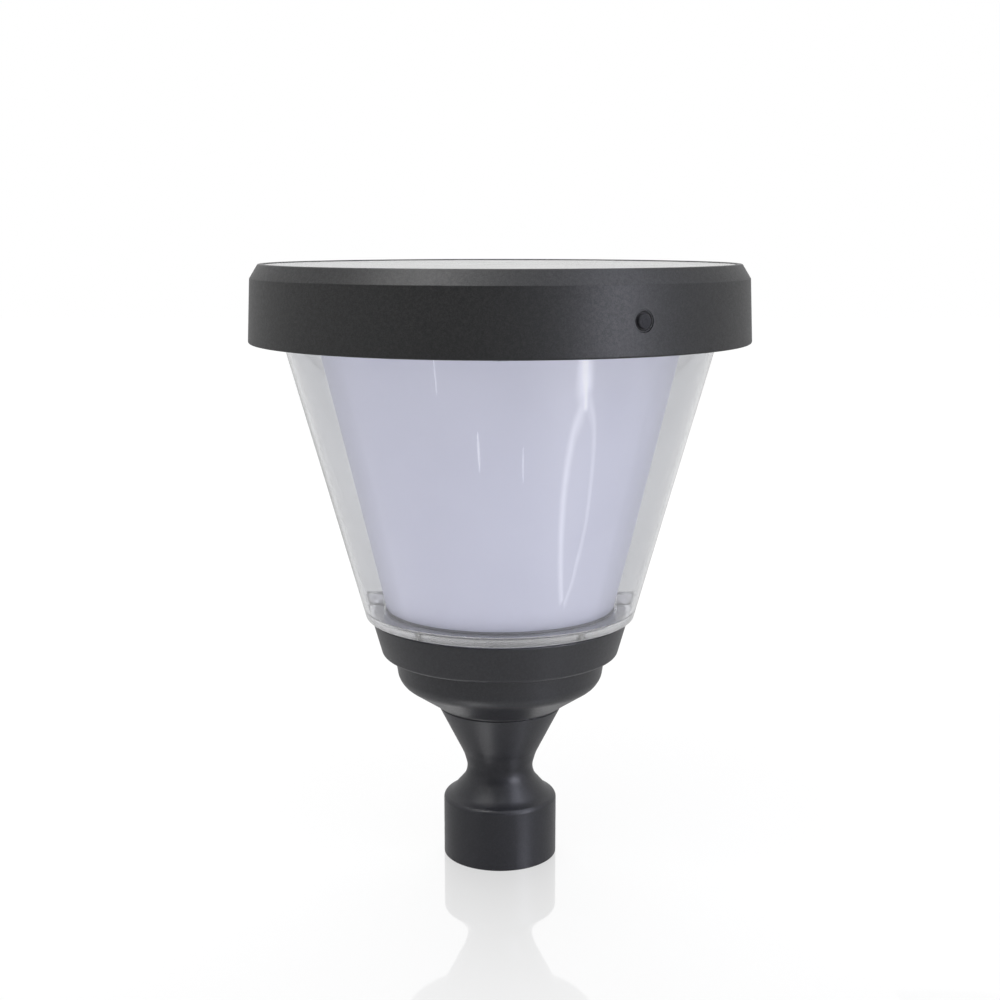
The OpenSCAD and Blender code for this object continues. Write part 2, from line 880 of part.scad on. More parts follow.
// Pairs of leads: panel to controller, battery to controller, switch to controller,
// and controller to lamp board
module inner_leads() {
    battery_start = battery_plug_y + plug_w / 2;
    switch_start = switch_plug_s + plug_w / 2;
    panel_start = board_top_z + plug_h;
    lamp_start = plate_z - board_t - 1;
    color("#a03030")
        for (side = [-1, 1]) {
            translate([panel_plug_x + side * lead_pitch, board_y, 0])
                rod(lead_r, panel_start, junction_z - panel_start);
            translate([battery_plug_x + side * lead_pitch, battery_start, battery_z])
                rotate([-90, 0, 0])
                    rod(lead_r, 0, battery_y - battery_start);
            at_button()
                translate([0, side * lead_pitch, 0])
                    rod(lead_r, switch_start, switch_board_rear - switch_start);
            translate([grommet_x + side * lead_pitch, grommet_y, 0])
                rod(lead_r, lamp_start, board_z - lamp_start);
        }
}

// ---- Light source ----

module led_board() {
    low = plate_z - board_t;
    color("#eeeeea")
        difference() {
            rod(led_board_r, low, board_t);
            on_ring(led_ring_r, four_count, four_first)
                rod(m3_r + hole_gap, low - 1, board_t + 2);
            translate([grommet_x, grommet_y, 0])
                rod(lead_hole_r, low - 1, board_t + 2);
        }
}

module led_chips() {
    color("#f2e08a")
        for (i = [1:chip_rings])
            on_ring(led_ring_r - chip_margin - (chip_rings - i) * chip_ring_step, 8 * i, 5)
                block([chip_s, chip_s, chip_h], plate_z - board_t - chip_h);
}

module led_screws() {
    color("#b9babc")
        on_ring(led_ring_r, four_count, four_first)
            pan_screw_up(m3_r, m3_head_r, m3_head_h, board_t + plate_t - 0.3, plate_z - board_t);
}

// ---- Shade and diffuser ----

module shade_seal() {
    color("#1c1d1e")
        difference() {
            ring(shade_top_r - 1, flange_r - 0.5, shade_top_z, shade_seal_t);
            on_ring(shade_ring_r, ring_count, ring_first)
                rod(m4_r + hole_gap, shade_top_z - 1, shade_seal_t + 2);
        }
}

module shade_screws() {
    color("#b9babc")
        on_ring(shade_ring_r, ring_count, ring_first)
            pan_screw(m4_r, m4_head_r, m4_head_h, plate_t + shade_seal_t + 1.6 * flange_t, plate_top_z);
}

// Clear cone with a closed floor, a top flange, screw bosses and two centring lugs
module outer_shade() {
    boss_low = shade_top_z - 2 * flange_t;
    color("#c9d2d8", 0.3)
        difference() {
            union() {
                revolve([
                    [0, shade_z],
                    [shade_foot_r, shade_z, 0.9],
                    [shade_top_r, shade_top_z, 0.4],
                    [flange_r, shade_top_z],
                    [flange_r, shade_top_z - flange_t, 0.3],
                    [shade_inner_r(shade_top_z - flange_t), shade_top_z - flange_t, 1],
                    [shade_inner_r(seat_z), seat_z, 1.2],
                    [seat_r, seat_z, 0.4],
                    [seat_r, floor_z],
                    [0, floor_z]
                ]);
                on_ring(shade_ring_r, ring_count, ring_first)
                    rod(2.05 * m4_r, boss_low, shade_top_z - flange_t / 2 - boss_low);
                for (side = [-1, 1])
                    shade_lug(side);
            }
            on_ring(shade_ring_r, ring_count, ring_first)
                rod(m4_r + thread_gap, boss_low + 1, shade_top_z - boss_low);
            on_ring(floor_ring_r, four_count, four_first)
                rod(m4_r + hole_gap, shade_z - 1, shade_floor_t + 2);
        }
}

// Lug between the diffuser and the shade's wall, standing on the seat ring
module shade_lug(side) {
    near = diffuser_r(seat_z + lug_h) + 0.4;
    far = shade_inner_r(seat_z) + shade_wall / 2;
    translate([0, lug_w / 2, 0])
        rotate([90, 0, 0])
            linear_extrude(lug_w)
                polygon([
                    [side * near, seat_z - seat_h / 2],
                    [side * far, seat_z - seat_h / 2],
                    [side * (shade_inner_r(seat_z + lug_h) + shade_wall / 2), seat_z + lug_h],
                    [side * near, seat_z + lug_h]
                ]);
}

module diffuser_top_seal() {
    color("#1c1d1e")
        ring(diffuser_flange_r - 0.2, diffuser_top_r - 2, diffuser_top_z, top_seal_t);
}

// Opal cup: conical wall, outward top flange and a floor raised on a foot ring
module inner_diffuser() {
    cup_floor_z = diffuser_z + foot_ring_h;
    lip_z = diffuser_top_z - 3;
    color("#d4d6e2", 0.9)
        revolve([
            [diffuser_foot_r - diffuser_wall, diffuser_z],
            [diffuser_foot_r, diffuser_z],
            [diffuser_r(lip_z), lip_z],
            [diffuser_flange_r, lip_z, 0.4],
            [diffuser_flange_r, diffuser_top_z, 0.4],
            [diffuser_inner_r(diffuser_top_z), diffuser_top_z],
            [diffuser_inner_r(cup_floor_z + diffuser_wall), cup_floor_z + diffuser_wall, 3],
            [0, cup_floor_z + diffuser_wall],
            [0, cup_floor_z],
            [diffuser_foot_r - diffuser_wall, cup_floor_z]
        ]);
}

module diffuser_foot_seal() {
    color("#3c3d44")
        ring(diffuser_foot_r + 0.3, diffuser_foot_r - diffuser_wall - 0.3, seat_z, foot_seal_t);
}

module floor_screws() {
    color("#b9babc")
        on_ring(floor_ring_r, four_count, four_first)
            pan_screw(m4_r, m4_head_r, m4_head_h, floor_screw_l, floor_z);
}

// ---- Base ----

module dish_seal() {
    color("#c6c6cf")
        ring(band_rim_r - 1.2, band_rim_r - dish_wall - 3.5, dish_top_z, dish_seal_t);
}

// Stepped hollow casting with four bosses for the shade's floor screws
module base_dish() {
    inner_rim_r = band_rim_r - dish_wall;
    color("#3b3c40")
        difference() {
            union() {
                revolve([
                    [tie_hole_r, dish_z],
                    [spigot_r - 5, dish_z],
                    [spigot_r - 5, dish_z - spigot_h],
                    [spigot_r, dish_z - spigot_h, 0.4],
                    [spigot_r, dish_z],
                    [dish_foot_r - 0.35, dish_z],
                    [dish_foot_r, slope_z],
                    [step_foot_r, step_z, step_round],
                    [step_top_r, band_z, 0.6],
                    [band_foot_r, band_z, band_round],
                    [band_rim_r, dish_top_z, 0.8],
                    [inner_rim_r - 4.5, dish_top_z, 0.3],
                    [inner_rim_r - 4.5, dish_top_z - 2.5],
                    [inner_rim_r - 0.9, dish_top_z - 4],
                    [band_foot_r - dish_wall, band_z + dish_wall, 1.5],
                    [step_top_r - dish_wall, band_z + dish_wall, 1],
                    [step_foot_r - dish_wall, step_z + dish_wall / 2, 8],
                    [dish_foot_r + dish_wall / 2, dish_z + dish_floor_t, 3],
                    [tie_hole_r, dish_z + dish_floor_t]
                ]);
                intersection() {
                    on_ring(floor_ring_r, four_count, four_first)
                        rod(dish_boss_r, dish_z, shade_z - dish_z);
                    revolve([
                        [0, slope_z],
                        [dish_foot_r, slope_z + dish_wall / 2],
                        [step_foot_r - dish_wall / 2, step_z + 1, step_round],
                        [step_top_r - dish_wall / 2, band_z + dish_wall],
                        [step_top_r - dish_wall / 2, shade_z],
                        [0, shade_z]
                    ]);
                }
            }
            on_ring(floor_ring_r, four_count, four_first)
                rod(m4_r + thread_gap, floor_z - floor_screw_l - 1, floor_screw_l);
        }
}

module neck_seal() {
    color("#141416")
        ring(neck_top_r - 0.8, recess_r + 0.2, neck_top_z, neck_seal_t);
}

// Collar, bell and neck in one casting: a post socket below, a bolt pocket, a web and
// a hollow neck above
module post_collar() {
    color("#3a3b3f")
        difference() {
            revolve([
                [tie_hole_r, web_z],
                [pocket_r, web_z, 1],
                [pocket_r, socket_depth, 0.6],
                [bore_r, socket_depth],
                [bore_r, 1],
                [bore_r + 1, 0],
                [collar_r, 0, 0.6],
                [collar_r, shoulder_h, shoulder_round],
                [collar_r - bell_inset, shoulder_h + bell_rise, 20],
                [waist_r, shoulder_h + waist_rise, waist_round],
                [throat_r, shoulder_h + throat_rise, waist_round],
                [neck_top_r, neck_top_z, 0.3],
                [recess_r, neck_top_z, 0.3],
                [recess_r, neck_top_z - recess_h],
                [recess_r - 1.7, neck_top_z - recess_h],
                [cavity_r, shoulder_h + throat_rise - 3, 12],
                [cavity_r, web_z + web_t, 2],
                [tie_hole_r, web_z + web_t]
            ]);
            for (side = [-1, 1])
                at_set_screw(side)
                    rod(set_screw_r + thread_gap, bore_r - 3, collar_wall + 6);
        }
}

// Hexagon bolt whose head hangs in the pocket and whose shank rises through the dish
module tie_bolt() {
    head_top = web_z - washer_t;
    color("#b0b2b5")
        union() {
            translate([0, 0, head_top - tie_head_h])
                cylinder(r = tie_head_r, h = tie_head_h, $fn = 6);
            revolve([
                [0, head_top - 1],
                [tie_r, head_top - 1],
                [tie_r, dish_z + dish_floor_t + washer_t + tie_nut_h + 3, 0.8],
                [0, dish_z + dish_floor_t + washer_t + tie_nut_h + 3]
            ]);
        }
}

module tie_washers() {
    color("#b9babc") {
        ring(washer_r, tie_hole_r, web_z - washer_t, washer_t);
        ring(washer_r, tie_hole_r, dish_z + dish_floor_t, washer_t);
    }
}

module tie_nut() {
    low = dish_z + dish_floor_t + washer_t;
    color("#b0b2b5")
        difference() {
            translate([0, 0, low])
                cylinder(r = tie_nut_r, h = tie_nut_h, $fn = 6);
            rod(tie_r + thread_gap, low - 1, tie_nut_h + 2);
        }
}

// Socket set screw, stored just clear of the bore
module set_screw(side) {
    tip = bore_r + 0.1;
    socket_r = 1.7;
    socket_depth_in = 2.2;
    color("#87898c")
        at_set_screw(side)
            difference() {
                revolve([
                    [0, tip],
                    [set_screw_r - 0.6, tip],
                    [set_screw_r, tip + 0.6],
                    [set_screw_r, tip + set_screw_l - 0.3],
                    [set_screw_r - 0.3, tip + set_screw_l],
                    [0, tip + set_screw_l]
                ]);
                translate([0, 0, tip + set_screw_l - socket_depth_in])
                    cylinder(r = socket_r, h = socket_depth_in + 1, $fn = 6);
            }
}

module set_screw_left() {
    set_screw(-1);
}

module set_screw_right() {
    set_screw(1);
}

head_housing();
panel_glass();
panel_seal();
solar_cells();
panel_backsheet();
junction_box();
mounting_plate();
plate_seal();
plate_screws();
battery_cells();
battery_tray();
battery_strap();
battery_screws();
controller_board();
controller_parts();
board_spacers();
board_screws();
switch_bracket();
bracket_screws();
switch_board();
button_switch();
switch_plunger();
power_button();
button_boot();
lead_grommet();
inner_leads();
led_board();
led_chips();
led_screws();
shade_seal();
shade_screws();
outer_shade();
diffuser_top_seal();
inner_diffuser();
diffuser_foot_seal();
floor_screws();
dish_seal();
base_dish();
neck_seal();
post_collar();
tie_bolt();
tie_washers();
tie_nut();
set_screw_left();
set_screw_right();
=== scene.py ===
"""Solar cap light for a round post: the finished look of every piece, in the order of assembly.

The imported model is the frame: its pieces stay where they are and get their finishes here. The pieces
that show most are turned again with finer edges, and each one replaces its plain twin.
Sizes are in millimetres where a name or a list says so, and the model itself is in metres.
"""

import math

import bmesh
import bpy
from mathutils import Matrix, Vector


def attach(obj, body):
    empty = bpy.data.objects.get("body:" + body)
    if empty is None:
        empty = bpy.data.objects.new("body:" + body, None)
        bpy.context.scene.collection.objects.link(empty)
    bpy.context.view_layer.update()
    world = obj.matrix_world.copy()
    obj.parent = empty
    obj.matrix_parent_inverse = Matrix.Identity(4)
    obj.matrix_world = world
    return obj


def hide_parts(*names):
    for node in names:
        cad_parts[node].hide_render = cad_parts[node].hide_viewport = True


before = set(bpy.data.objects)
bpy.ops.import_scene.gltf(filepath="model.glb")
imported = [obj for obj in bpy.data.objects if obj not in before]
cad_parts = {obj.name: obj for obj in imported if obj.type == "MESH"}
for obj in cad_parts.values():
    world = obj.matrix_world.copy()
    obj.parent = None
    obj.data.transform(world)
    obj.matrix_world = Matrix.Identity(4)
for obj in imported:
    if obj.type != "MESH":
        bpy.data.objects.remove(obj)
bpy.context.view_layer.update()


# ---- Post collar, bell and neck ----
# One aluminium casting: a socket for the post below, a bell and a waist above it, and a hollow
# throat that takes the dish's spigot. Sand-textured polyester powder, baked on after turning.

MM = 0.001
FINE_STEPS = 288
SHARP_ANGLE = math.radians(38)


def start_piece(name, shape):
    """Makes a bmesh an object in the scene, and frees the bmesh."""
    data = bpy.data.meshes.new(name)
    shape.to_mesh(data)
    shape.free()
    piece = bpy.data.objects.new(name, data)
    bpy.context.scene.collection.objects.link(piece)
    return piece


def rounded_outline(corners):
    """A bmesh with the closed outline through corners (radius, height, rounding), in millimetres.

    The stretch between two corners on the axis is left open, because a turned solid has no wall there.
    """
    shape = bmesh.new()
    points = [shape.verts.new((corner[0] * MM, 0, corner[1] * MM)) for corner in corners]
    places = [point.co.copy() for point in points]
    for index, point in enumerate(points):
        following = points[(index + 1) % len(points)]
        if point.co.x > 0 or following.co.x > 0:
            shape.edges.new((point, following))
    for index, corner in enumerate(corners):
        if len(corner) < 3:
            continue
        back = places[index - 1] - places[index]
        ahead = places[(index + 1) % len(places)] - places[index]
        half = back.angle(ahead) / 2
        reach = min(corner[2] * MM / math.tan(half), 0.48 * back.length, 0.48 * ahead.length)
        turn = math.pi - 2 * half
        bmesh.ops.bevel(
            shape, geom=[points[index]], offset=reach, offset_type="OFFSET", affect="VERTICES",
            segments=max(3, round(turn / math.radians(9))), profile=0.5, material=-1)
    return shape


def turn_shape(corners, steps=FINE_STEPS):
    """A bmesh turned about the Z axis from an outline, with its seam and its poles closed."""
    shape = rounded_outline(corners)
    bmesh.ops.spin(
        shape, geom=shape.verts[:] + shape.edges[:], cent=(0, 0, 0), axis=(0, 0, 1), dvec=(0, 0, 0),
        angle=2 * math.pi, steps=steps, use_merge=True, use_normal_flip=False, use_duplicate=False)
    bmesh.ops.remove_doubles(shape, verts=shape.verts, dist=0.002 * MM)
    bmesh.ops.recalc_face_normals(shape, faces=shape.faces)
    return shape


def rod_shape(radius, low, high, place=Matrix.Identity(4), steps=48):
    """A closed rod from height low to high, in millimetres, moved by a matrix in metres."""
    shape = bmesh.new()
    middle = Matrix.Translation((0, 0, (low + high) / 2 * MM))
    bmesh.ops.create_cone(
        shape, cap_ends=True, segments=steps, radius1=radius * MM, radius2=radius * MM,
        depth=(high - low) * MM, matrix=place @ middle)
    return shape


def settle(piece):
    """Makes a piece's modifiers part of its mesh."""
    seen = piece.evaluated_get(bpy.context.evaluated_depsgraph_get())
    piece.data = bpy.data.meshes.new_from_object(seen)
    piece.modifiers.clear()


def combine(piece, tools, operation):
    """Joins tools to a piece or cuts them out of it, one bmesh after the other."""
    for index, shape in enumerate(tools):
        tool = start_piece(f"tool_{index}", shape)
        step = piece.modifiers.new("Combine", "BOOLEAN")
        step.object = tool
        step.operation = operation
        step.solver = "EXACT"
        settle(piece)
        bpy.data.objects.remove(tool)


def smooth(piece):
    """Shades a piece smoothly, with its flats kept flat and its unrounded edges sharp."""
    piece.data.shade_smooth()
    piece.data.set_sharp_from_angle(angle=SHARP_ANGLE)
    step = piece.modifiers.new("Flats", "WEIGHTED_NORMAL")
    step.keep_sharp = True
    step.weight = 80
    settle(piece)


def fit_piece(piece, material, slot, body, *nodes):
    """Gives a piece its finish and its body, and names the CAD nodes that it stands for."""
    piece.data.materials.clear()
    piece.data.materials.append(material)
    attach(piece, body)
    if nodes:
        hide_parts(*nodes)


def ring_places(radius, count, first):
    """Matrices that move a shape onto a ring of fasteners, its radius in millimetres."""
    out = Matrix.Translation((radius * MM, 0, 0))
    return [Matrix.Rotation(math.radians(first + turn * 360 / count), 4, "Z") @ out for turn in range(count)]


def add_node(tree, kind, **settings):
    made = tree.nodes.new(kind)
    for name, value in settings.items():
        setattr(made, name, value)
    return made


def start_group(name, inputs, outputs):
    """An empty shader node group with float inputs {name: value} and float outputs, and its end nodes."""
    tree = bpy.data.node_groups.new(name, "ShaderNodeTree")
    for label, value in inputs.items():
        tree.interface.new_socket(label, in_out="INPUT", socket_type="NodeSocketFloat").default_value = value
    for label in outputs:
        tree.interface.new_socket(label, in_out="OUTPUT", socket_type="NodeSocketFloat")
    return tree, add_node(tree, "NodeGroupInput"), add_node(tree, "NodeGroupOutput")


def maths(tree, operation, first, second=None):
    """A Math node fed by sockets or numbers. Gives its output socket."""
    made = add_node(tree, "ShaderNodeMath", operation=operation)
    for index, source in enumerate((first, second)):
        if isinstance(source, bpy.types.NodeSocket):
            tree.links.new(source, made.inputs[index])
        elif source is not None:
            made.inputs[index].default_value = source
    return made.outputs[0]


def noise(tree, size, detail, vector, roughness=0.5):
    """A noise whose features are about size across. size is a socket or a number, in metres."""
    made = add_node(tree, "ShaderNodeTexNoise")
    made.inputs["Detail"].default_value = detail
    made.inputs["Roughness"].default_value = roughness
    tree.links.new(vector, made.inputs["Vector"])
    tree.links.new(maths(tree, "DIVIDE", 1.0, size), made.inputs["Scale"])
    return made.outputs[0]


def build_powder_grain():
    """Sand-textured powder: fine bumps, pale specks on their tops, and slow drifts of tone."""
    tree, inward, outward = start_group(
        "powder_grain", {"Grain": 0.0007, "Drift": 0.06}, ["Speck", "Tone", "Height"])
    place = add_node(tree, "ShaderNodeTexCoord").outputs["Object"]
    fine = noise(tree, inward.outputs["Grain"], 3, place, 0.6)
    coarse = noise(tree, maths(tree, "MULTIPLY", inward.outputs["Grain"], 3.1), 2, place)
    drift = noise(tree, inward.outputs["Drift"], 2, place)
    both = maths(tree, "ADD", maths(tree, "MULTIPLY", fine, 0.7), maths(tree, "MULTIPLY", coarse, 0.3))
    tops = add_node(tree, "ShaderNodeMapRange", interpolation_type="SMOOTHSTEP")
    tree.links.new(both, tops.inputs["Value"])
    tops.inputs["From Min"].default_value = 0.36
    tops.inputs["From Max"].default_value = 0.68
    tree.links.new(tops.outputs["Result"], outward.inputs["Speck"])
    tree.links.new(drift, outward.inputs["Tone"])
    tree.links.new(both, outward.inputs["Height"])
    return tree


def ranged(tree, value, low, high, from_low=0.25, from_high=0.75):
    """Spreads a mask over a range, and gives the output socket."""
    made = add_node(tree, "ShaderNodeMapRange")
    tree.links.new(value, made.inputs["Value"])
    for label, number in (("From Min", from_low), ("From Max", from_high), ("To Min", low), ("To Max", high)):
        made.inputs[label].default_value = number
    return made.outputs["Result"]


def tinted(tree, mask, dark, light, low=0.0, high=1.0):
    """A colour between dark and light by a mask."""
    made = add_node(tree, "ShaderNodeValToRGB")
    for element, position, colour in zip(made.color_ramp.elements, (low, high), (dark, light)):
        element.position = position
        element.color = (*colour, 1)
    tree.links.new(mask, made.inputs["Fac"])
    return made.outputs["Color"]


def start_material(name, group=None, **sizes):
    """A material with its Principled shader, and an effect group with its own sizes. Gives all three."""
    material = bpy.data.materials.new(name)
    material.use_nodes = True
    tree = material.node_tree
    shader = tree.nodes["Principled BSDF"]
    effect = None
    if group:
        effect = add_node(tree, "ShaderNodeGroup", node_tree=group)
        for label, value in sizes.items():
            effect.inputs[label].default_value = value
    return material, shader, effect


def raise_surface(shader, height, depth, strength=1.0):
    """Feeds a height mask to the shader's normal. depth is the height of the relief, in metres."""
    tree = shader.id_data
    bump = add_node(tree, "ShaderNodeBump")
    bump.inputs["Strength"].default_value = strength
    bump.inputs["Distance"].default_value = depth
    tree.links.new(height, bump.inputs["Height"])
    tree.links.new(bump.outputs["Normal"], shader.inputs["Normal"])


powder_grain = build_powder_grain()


def powder_coat(name, dark, light, rough, grain, depth, specular):
    """Textured powder coat: dark between the grains, paler and smoother on their tops."""
    material, shader, effect = start_material(name, powder_grain, Grain=grain)
    tree = material.node_tree
    mask = maths(tree, "MULTIPLY", effect.outputs["Speck"], ranged(tree, effect.outputs["Tone"], 0.75, 1.0))
    tree.links.new(tinted(tree, mask, dark, light), shader.inputs["Base Color"])
    polished = ranged(tree, effect.outputs["Speck"], rough, rough - 0.08, 0, 1)
    tree.links.new(polished, shader.inputs["Roughness"])
    raise_surface(shader, effect.outputs["Height"], depth)
    shader.inputs["Specular IOR Level"].default_value = specular
    return material


# The collar's, the dish's and the head's coats are one powder; their different darknesses are painted light
# and shade.
collar_coat = powder_coat(
    "collar_coat", (0.0101, 0.0104, 0.0145), (0.0195, 0.0197, 0.027), 0.45, 0.0005, 0.00004, 0.4)

SET_SCREW_HEIGHT = 18
SET_SCREW_HOLE = 3.0
post_collar = start_piece("post_collar_casting", turn_shape([
    (5.25, 44.5), (16, 44.5, 1), (16, 35, 0.6), (30.5, 35), (30.5, 1), (31.5, 0), (35.4, 0, 0.6),
    (35.4, 37.8, 3.4), (30.5, 40.5, 20), (19.2, 53.5, 22), (22.7, 65.8, 22), (38.5, 96.9, 0.5),
    (33.2, 96.9, 0.4), (33.2, 92.9), (31.5, 92.9), (16, 62.8, 12), (16, 60.5, 2), (5.25, 60.5)]))
for side in (-1, 1):
    outwards = Matrix.Translation((0, 0, SET_SCREW_HEIGHT * MM)) @ Matrix.Rotation(side * math.pi / 2, 4, "Y")
    combine(post_collar, [rod_shape(SET_SCREW_HOLE, 28, 40, outwards)], "DIFFERENCE")
smooth(post_collar)
fit_piece(post_collar, collar_coat, "collar_coat", "lamp", "post_collar")


# ---- Set screws ----
# Two stainless grub screws with flat points, one on each side of the collar. They are driven in
# until they grip the post.

def build_moulded_grain():
    """Fine even grain with slow drifts, as moulded rubber and plastic have."""
    tree, inward, outward = start_group(
        "moulded_grain", {"Grain": 0.0004, "Drift": 0.02}, ["Grain", "Tone", "Height"])
    place = add_node(tree, "ShaderNodeTexCoord").outputs["Object"]
    fine = noise(tree, inward.outputs["Grain"], 2, place)
    drift = noise(tree, inward.outputs["Drift"], 3, place)
    tree.links.new(fine, outward.inputs["Grain"])
    tree.links.new(drift, outward.inputs["Tone"])
    tree.links.new(maths(tree, "ADD", fine, maths(tree, "MULTIPLY", drift, 0.5)), outward.inputs["Height"])
    return tree


moulded_grain = build_moulded_grain()


def moulded(name, dark, light, rough, grain=0.0004, depth=0.00002, specular=0.5):
    """Moulded rubber or plastic, or anything with a fine even grain."""
    material, shader, effect = start_material(name, moulded_grain, Grain=grain)
    tree = material.node_tree
    mask = maths(tree, "MULTIPLY", effect.outputs["Grain"], effect.outputs["Tone"])
    tree.links.new(tinted(tree, mask, dark, light, 0.1, 0.45), shader.inputs["Base Color"])
    drifting = ranged(tree, effect.outputs["Tone"], rough - 0.06, rough + 0.06)
    tree.links.new(drifting, shader.inputs["Roughness"])
    raise_surface(shader, effect.outputs["Height"], depth)
    shader.inputs["Specular IOR Level"].default_value = specular
    return material


def build_metal_marks():
    """Long fine marks along one axis, with stains, as on drawn, rolled or plated metal."""
    tree, inward, outward = start_group(
        "metal_marks", {"Width": 0.00015, "Length": 0.004, "Stain": 0.008}, ["Marks", "Stain", "Height"])
    place = add_node(tree, "ShaderNodeTexCoord").outputs["Object"]
    along = add_node(tree, "ShaderNodeCombineXYZ")
    for label in ("X", "Y"):
        tree.links.new(maths(tree, "DIVIDE", 1.0, inward.outputs["Width"]), along.inputs[label])
    tree.links.new(maths(tree, "DIVIDE", 1.0, inward.outputs["Length"]), along.inputs["Z"])
    stretched = add_node(tree, "ShaderNodeVectorMath", operation="MULTIPLY")
    tree.links.new(place, stretched.inputs[0])
    tree.links.new(along.outputs["Vector"], stretched.inputs[1])
    marks = noise(tree, 1.0, 3, stretched.outputs["Vector"])
    stain = noise(tree, inward.outputs["Stain"], 3, place)
    tree.links.new(marks, outward.inputs["Marks"])
    tree.links.new(stain, outward.inputs["Stain"])
    tree.links.new(marks, outward.inputs["Height"])
    return tree


metal_marks = build_metal_marks()


def metal(name, dark, light, rough, **sizes):
    """Bare or plated metal with drawn marks and faint stains."""
    material, shader, effect = start_material(name, metal_marks, **sizes)
    tree = material.node_tree
    mask = maths(tree, "MULTIPLY", effect.outputs["Marks"], effect.outputs["Stain"])
    tree.links.new(tinted(tree, mask, dark, light, 0.12, 0.42), shader.inputs["Base Color"])
    dulled = ranged(tree, effect.outputs["Stain"], rough - 0.08, rough + 0.1)
    tree.links.new(dulled, shader.inputs["Roughness"])
    raise_surface(shader, effect.outputs["Height"], 0.00001)
    shader.inputs["Metallic"].default_value = 1.0
    return material


def finish_nodes(material, *names):
    """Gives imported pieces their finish."""
    for name in names:
        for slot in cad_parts[name].material_slots:
            slot.material = material


screw_steel = metal("screw_steel", (0.42, 0.42, 0.43), (0.68, 0.68, 0.69), 0.3)
finish_nodes(screw_steel, "set_screw_left", "set_screw_right")


# ---- Neck seal ----
# A flat ring of black rubber on the neck's rim. It shows as a thin dark line under the dish.

black_rubber = moulded("black_rubber", (0.006, 0.006, 0.007), (0.02, 0.02, 0.021), 0.62)
finish_nodes(black_rubber, "neck_seal")


# ---- Stepped dish ----
# Hollow aluminium casting with a spigot below, four bosses inside and two steps outside, powder
# coated like the neck. It stands on the neck's rim, centred by the spigot.

# The same powder as the collar's, painted paler: painted light where the dish faces the bright floor.
base_coat = powder_coat(
    "base_coat", (0.0148, 0.0151, 0.0185), (0.03, 0.0303, 0.036), 0.45, 0.0005, 0.00004, 0.42)

FLOOR_RING = 58.5
BOSS_RADIUS = 4.19
base_dish = start_piece("stepped_dish", turn_shape([
    (5.25, 97.4), (28.1, 97.4), (28.1, 94.4), (33.1, 94.4, 0.4), (33.1, 97.4), (38.75, 97.4),
    (39.1, 98.1, 0.3), (62.9, 113.7, 11.5), (65.6, 131.4, 0.7), (72.9, 131.4, 2.5), (79.3, 154, 0.9),
    (71.6, 154, 0.3), (71.6, 151.5), (75.2, 150), (69.7, 134.6, 1.5), (62.4, 134.6, 1), (59.7, 115.3, 8),
    (40.7, 103, 3), (5.25, 103)]))
for place in ring_places(FLOOR_RING, 4, 45):
    boss = start_piece("dish_boss", rod_shape(BOSS_RADIUS, 100, 155.5, place))
    core = turn_shape([
        (0, 98.1), (39.1, 99.7), (61.3, 114.7, 11.5), (64, 134.6), (64, 155.5), (0, 155.5)], 96)
    combine(boss, [core], "INTERSECT")
    trimmed = bmesh.new()
    trimmed.from_mesh(boss.data)
    bpy.data.objects.remove(boss)
    combine(base_dish, [trimmed], "UNION")
combine(base_dish, [rod_shape(2, 142, 157, place) for place in ring_places(FLOOR_RING, 4, 45)], "DIFFERENCE")
smooth(base_dish)
fit_piece(base_dish, base_coat, "base_coat", "lamp", "base_dish")


# ---- Tie bolt, washers and nut ----
# One long M10 bolt pulls the dish down onto the neck. Zinc-plated steel, slightly yellow.

zinc_steel = metal("zinc_steel", (0.38, 0.375, 0.34), (0.62, 0.61, 0.56), 0.34)
finish_nodes(zinc_steel, "tie_bolt", "tie_washers", "tie_nut")


# ---- Clear shade ----
# Injection-moulded acrylic cone with a closed frosted floor, an inner ring for the diffuser, two
# centring lugs, a top flange and six bosses. Its floor lies on a pale silicone ring on the dish's rim.

pale_silicone = moulded("pale_silicone", (0.5, 0.5, 0.57), (0.6, 0.6, 0.67), 0.45)
finish_nodes(pale_silicone, "dish_seal")
finish_nodes(zinc_steel, "floor_screws")


def clear_plastic(name, clear, edge, rough, wave, depth, ior):
    """Clear plate or moulding: it looks darker seen edgeways, and has faint waves in its tint and surface.

    The edgeways darkening is partly the wall's own take-up of light and partly painted shade.
    """
    material, shader, effect = start_material(name, moulded_grain, Grain=wave, Drift=3 * wave)
    tree = material.node_tree
    # Painted shade: the tint darkens where the wall is seen edgeways, far more than the wall takes up.
    edgeways_shade = ranged(tree, add_node(tree, "ShaderNodeLayerWeight").outputs["Facing"], 0, 1, 0.37, 0.52)
    mask = maths(tree, "MULTIPLY", edgeways_shade, ranged(tree, effect.outputs["Tone"], 0.85, 1.0))
    tree.links.new(tinted(tree, mask, clear, edge), shader.inputs["Base Color"])
    tree.links.new(ranged(tree, effect.outputs["Grain"], rough, 1.8 * rough), shader.inputs["Roughness"])
    raise_surface(shader, effect.outputs["Height"], depth)
    shader.inputs["IOR"].default_value = ior
    shader.inputs["Transmission Weight"].default_value = 1.0
    return material


clear_acrylic = clear_plastic(
    "clear_acrylic", (0.9, 0.905, 0.91), (0.52, 0.525, 0.55), 0.012, 0.03, 0.000004, 1.49)

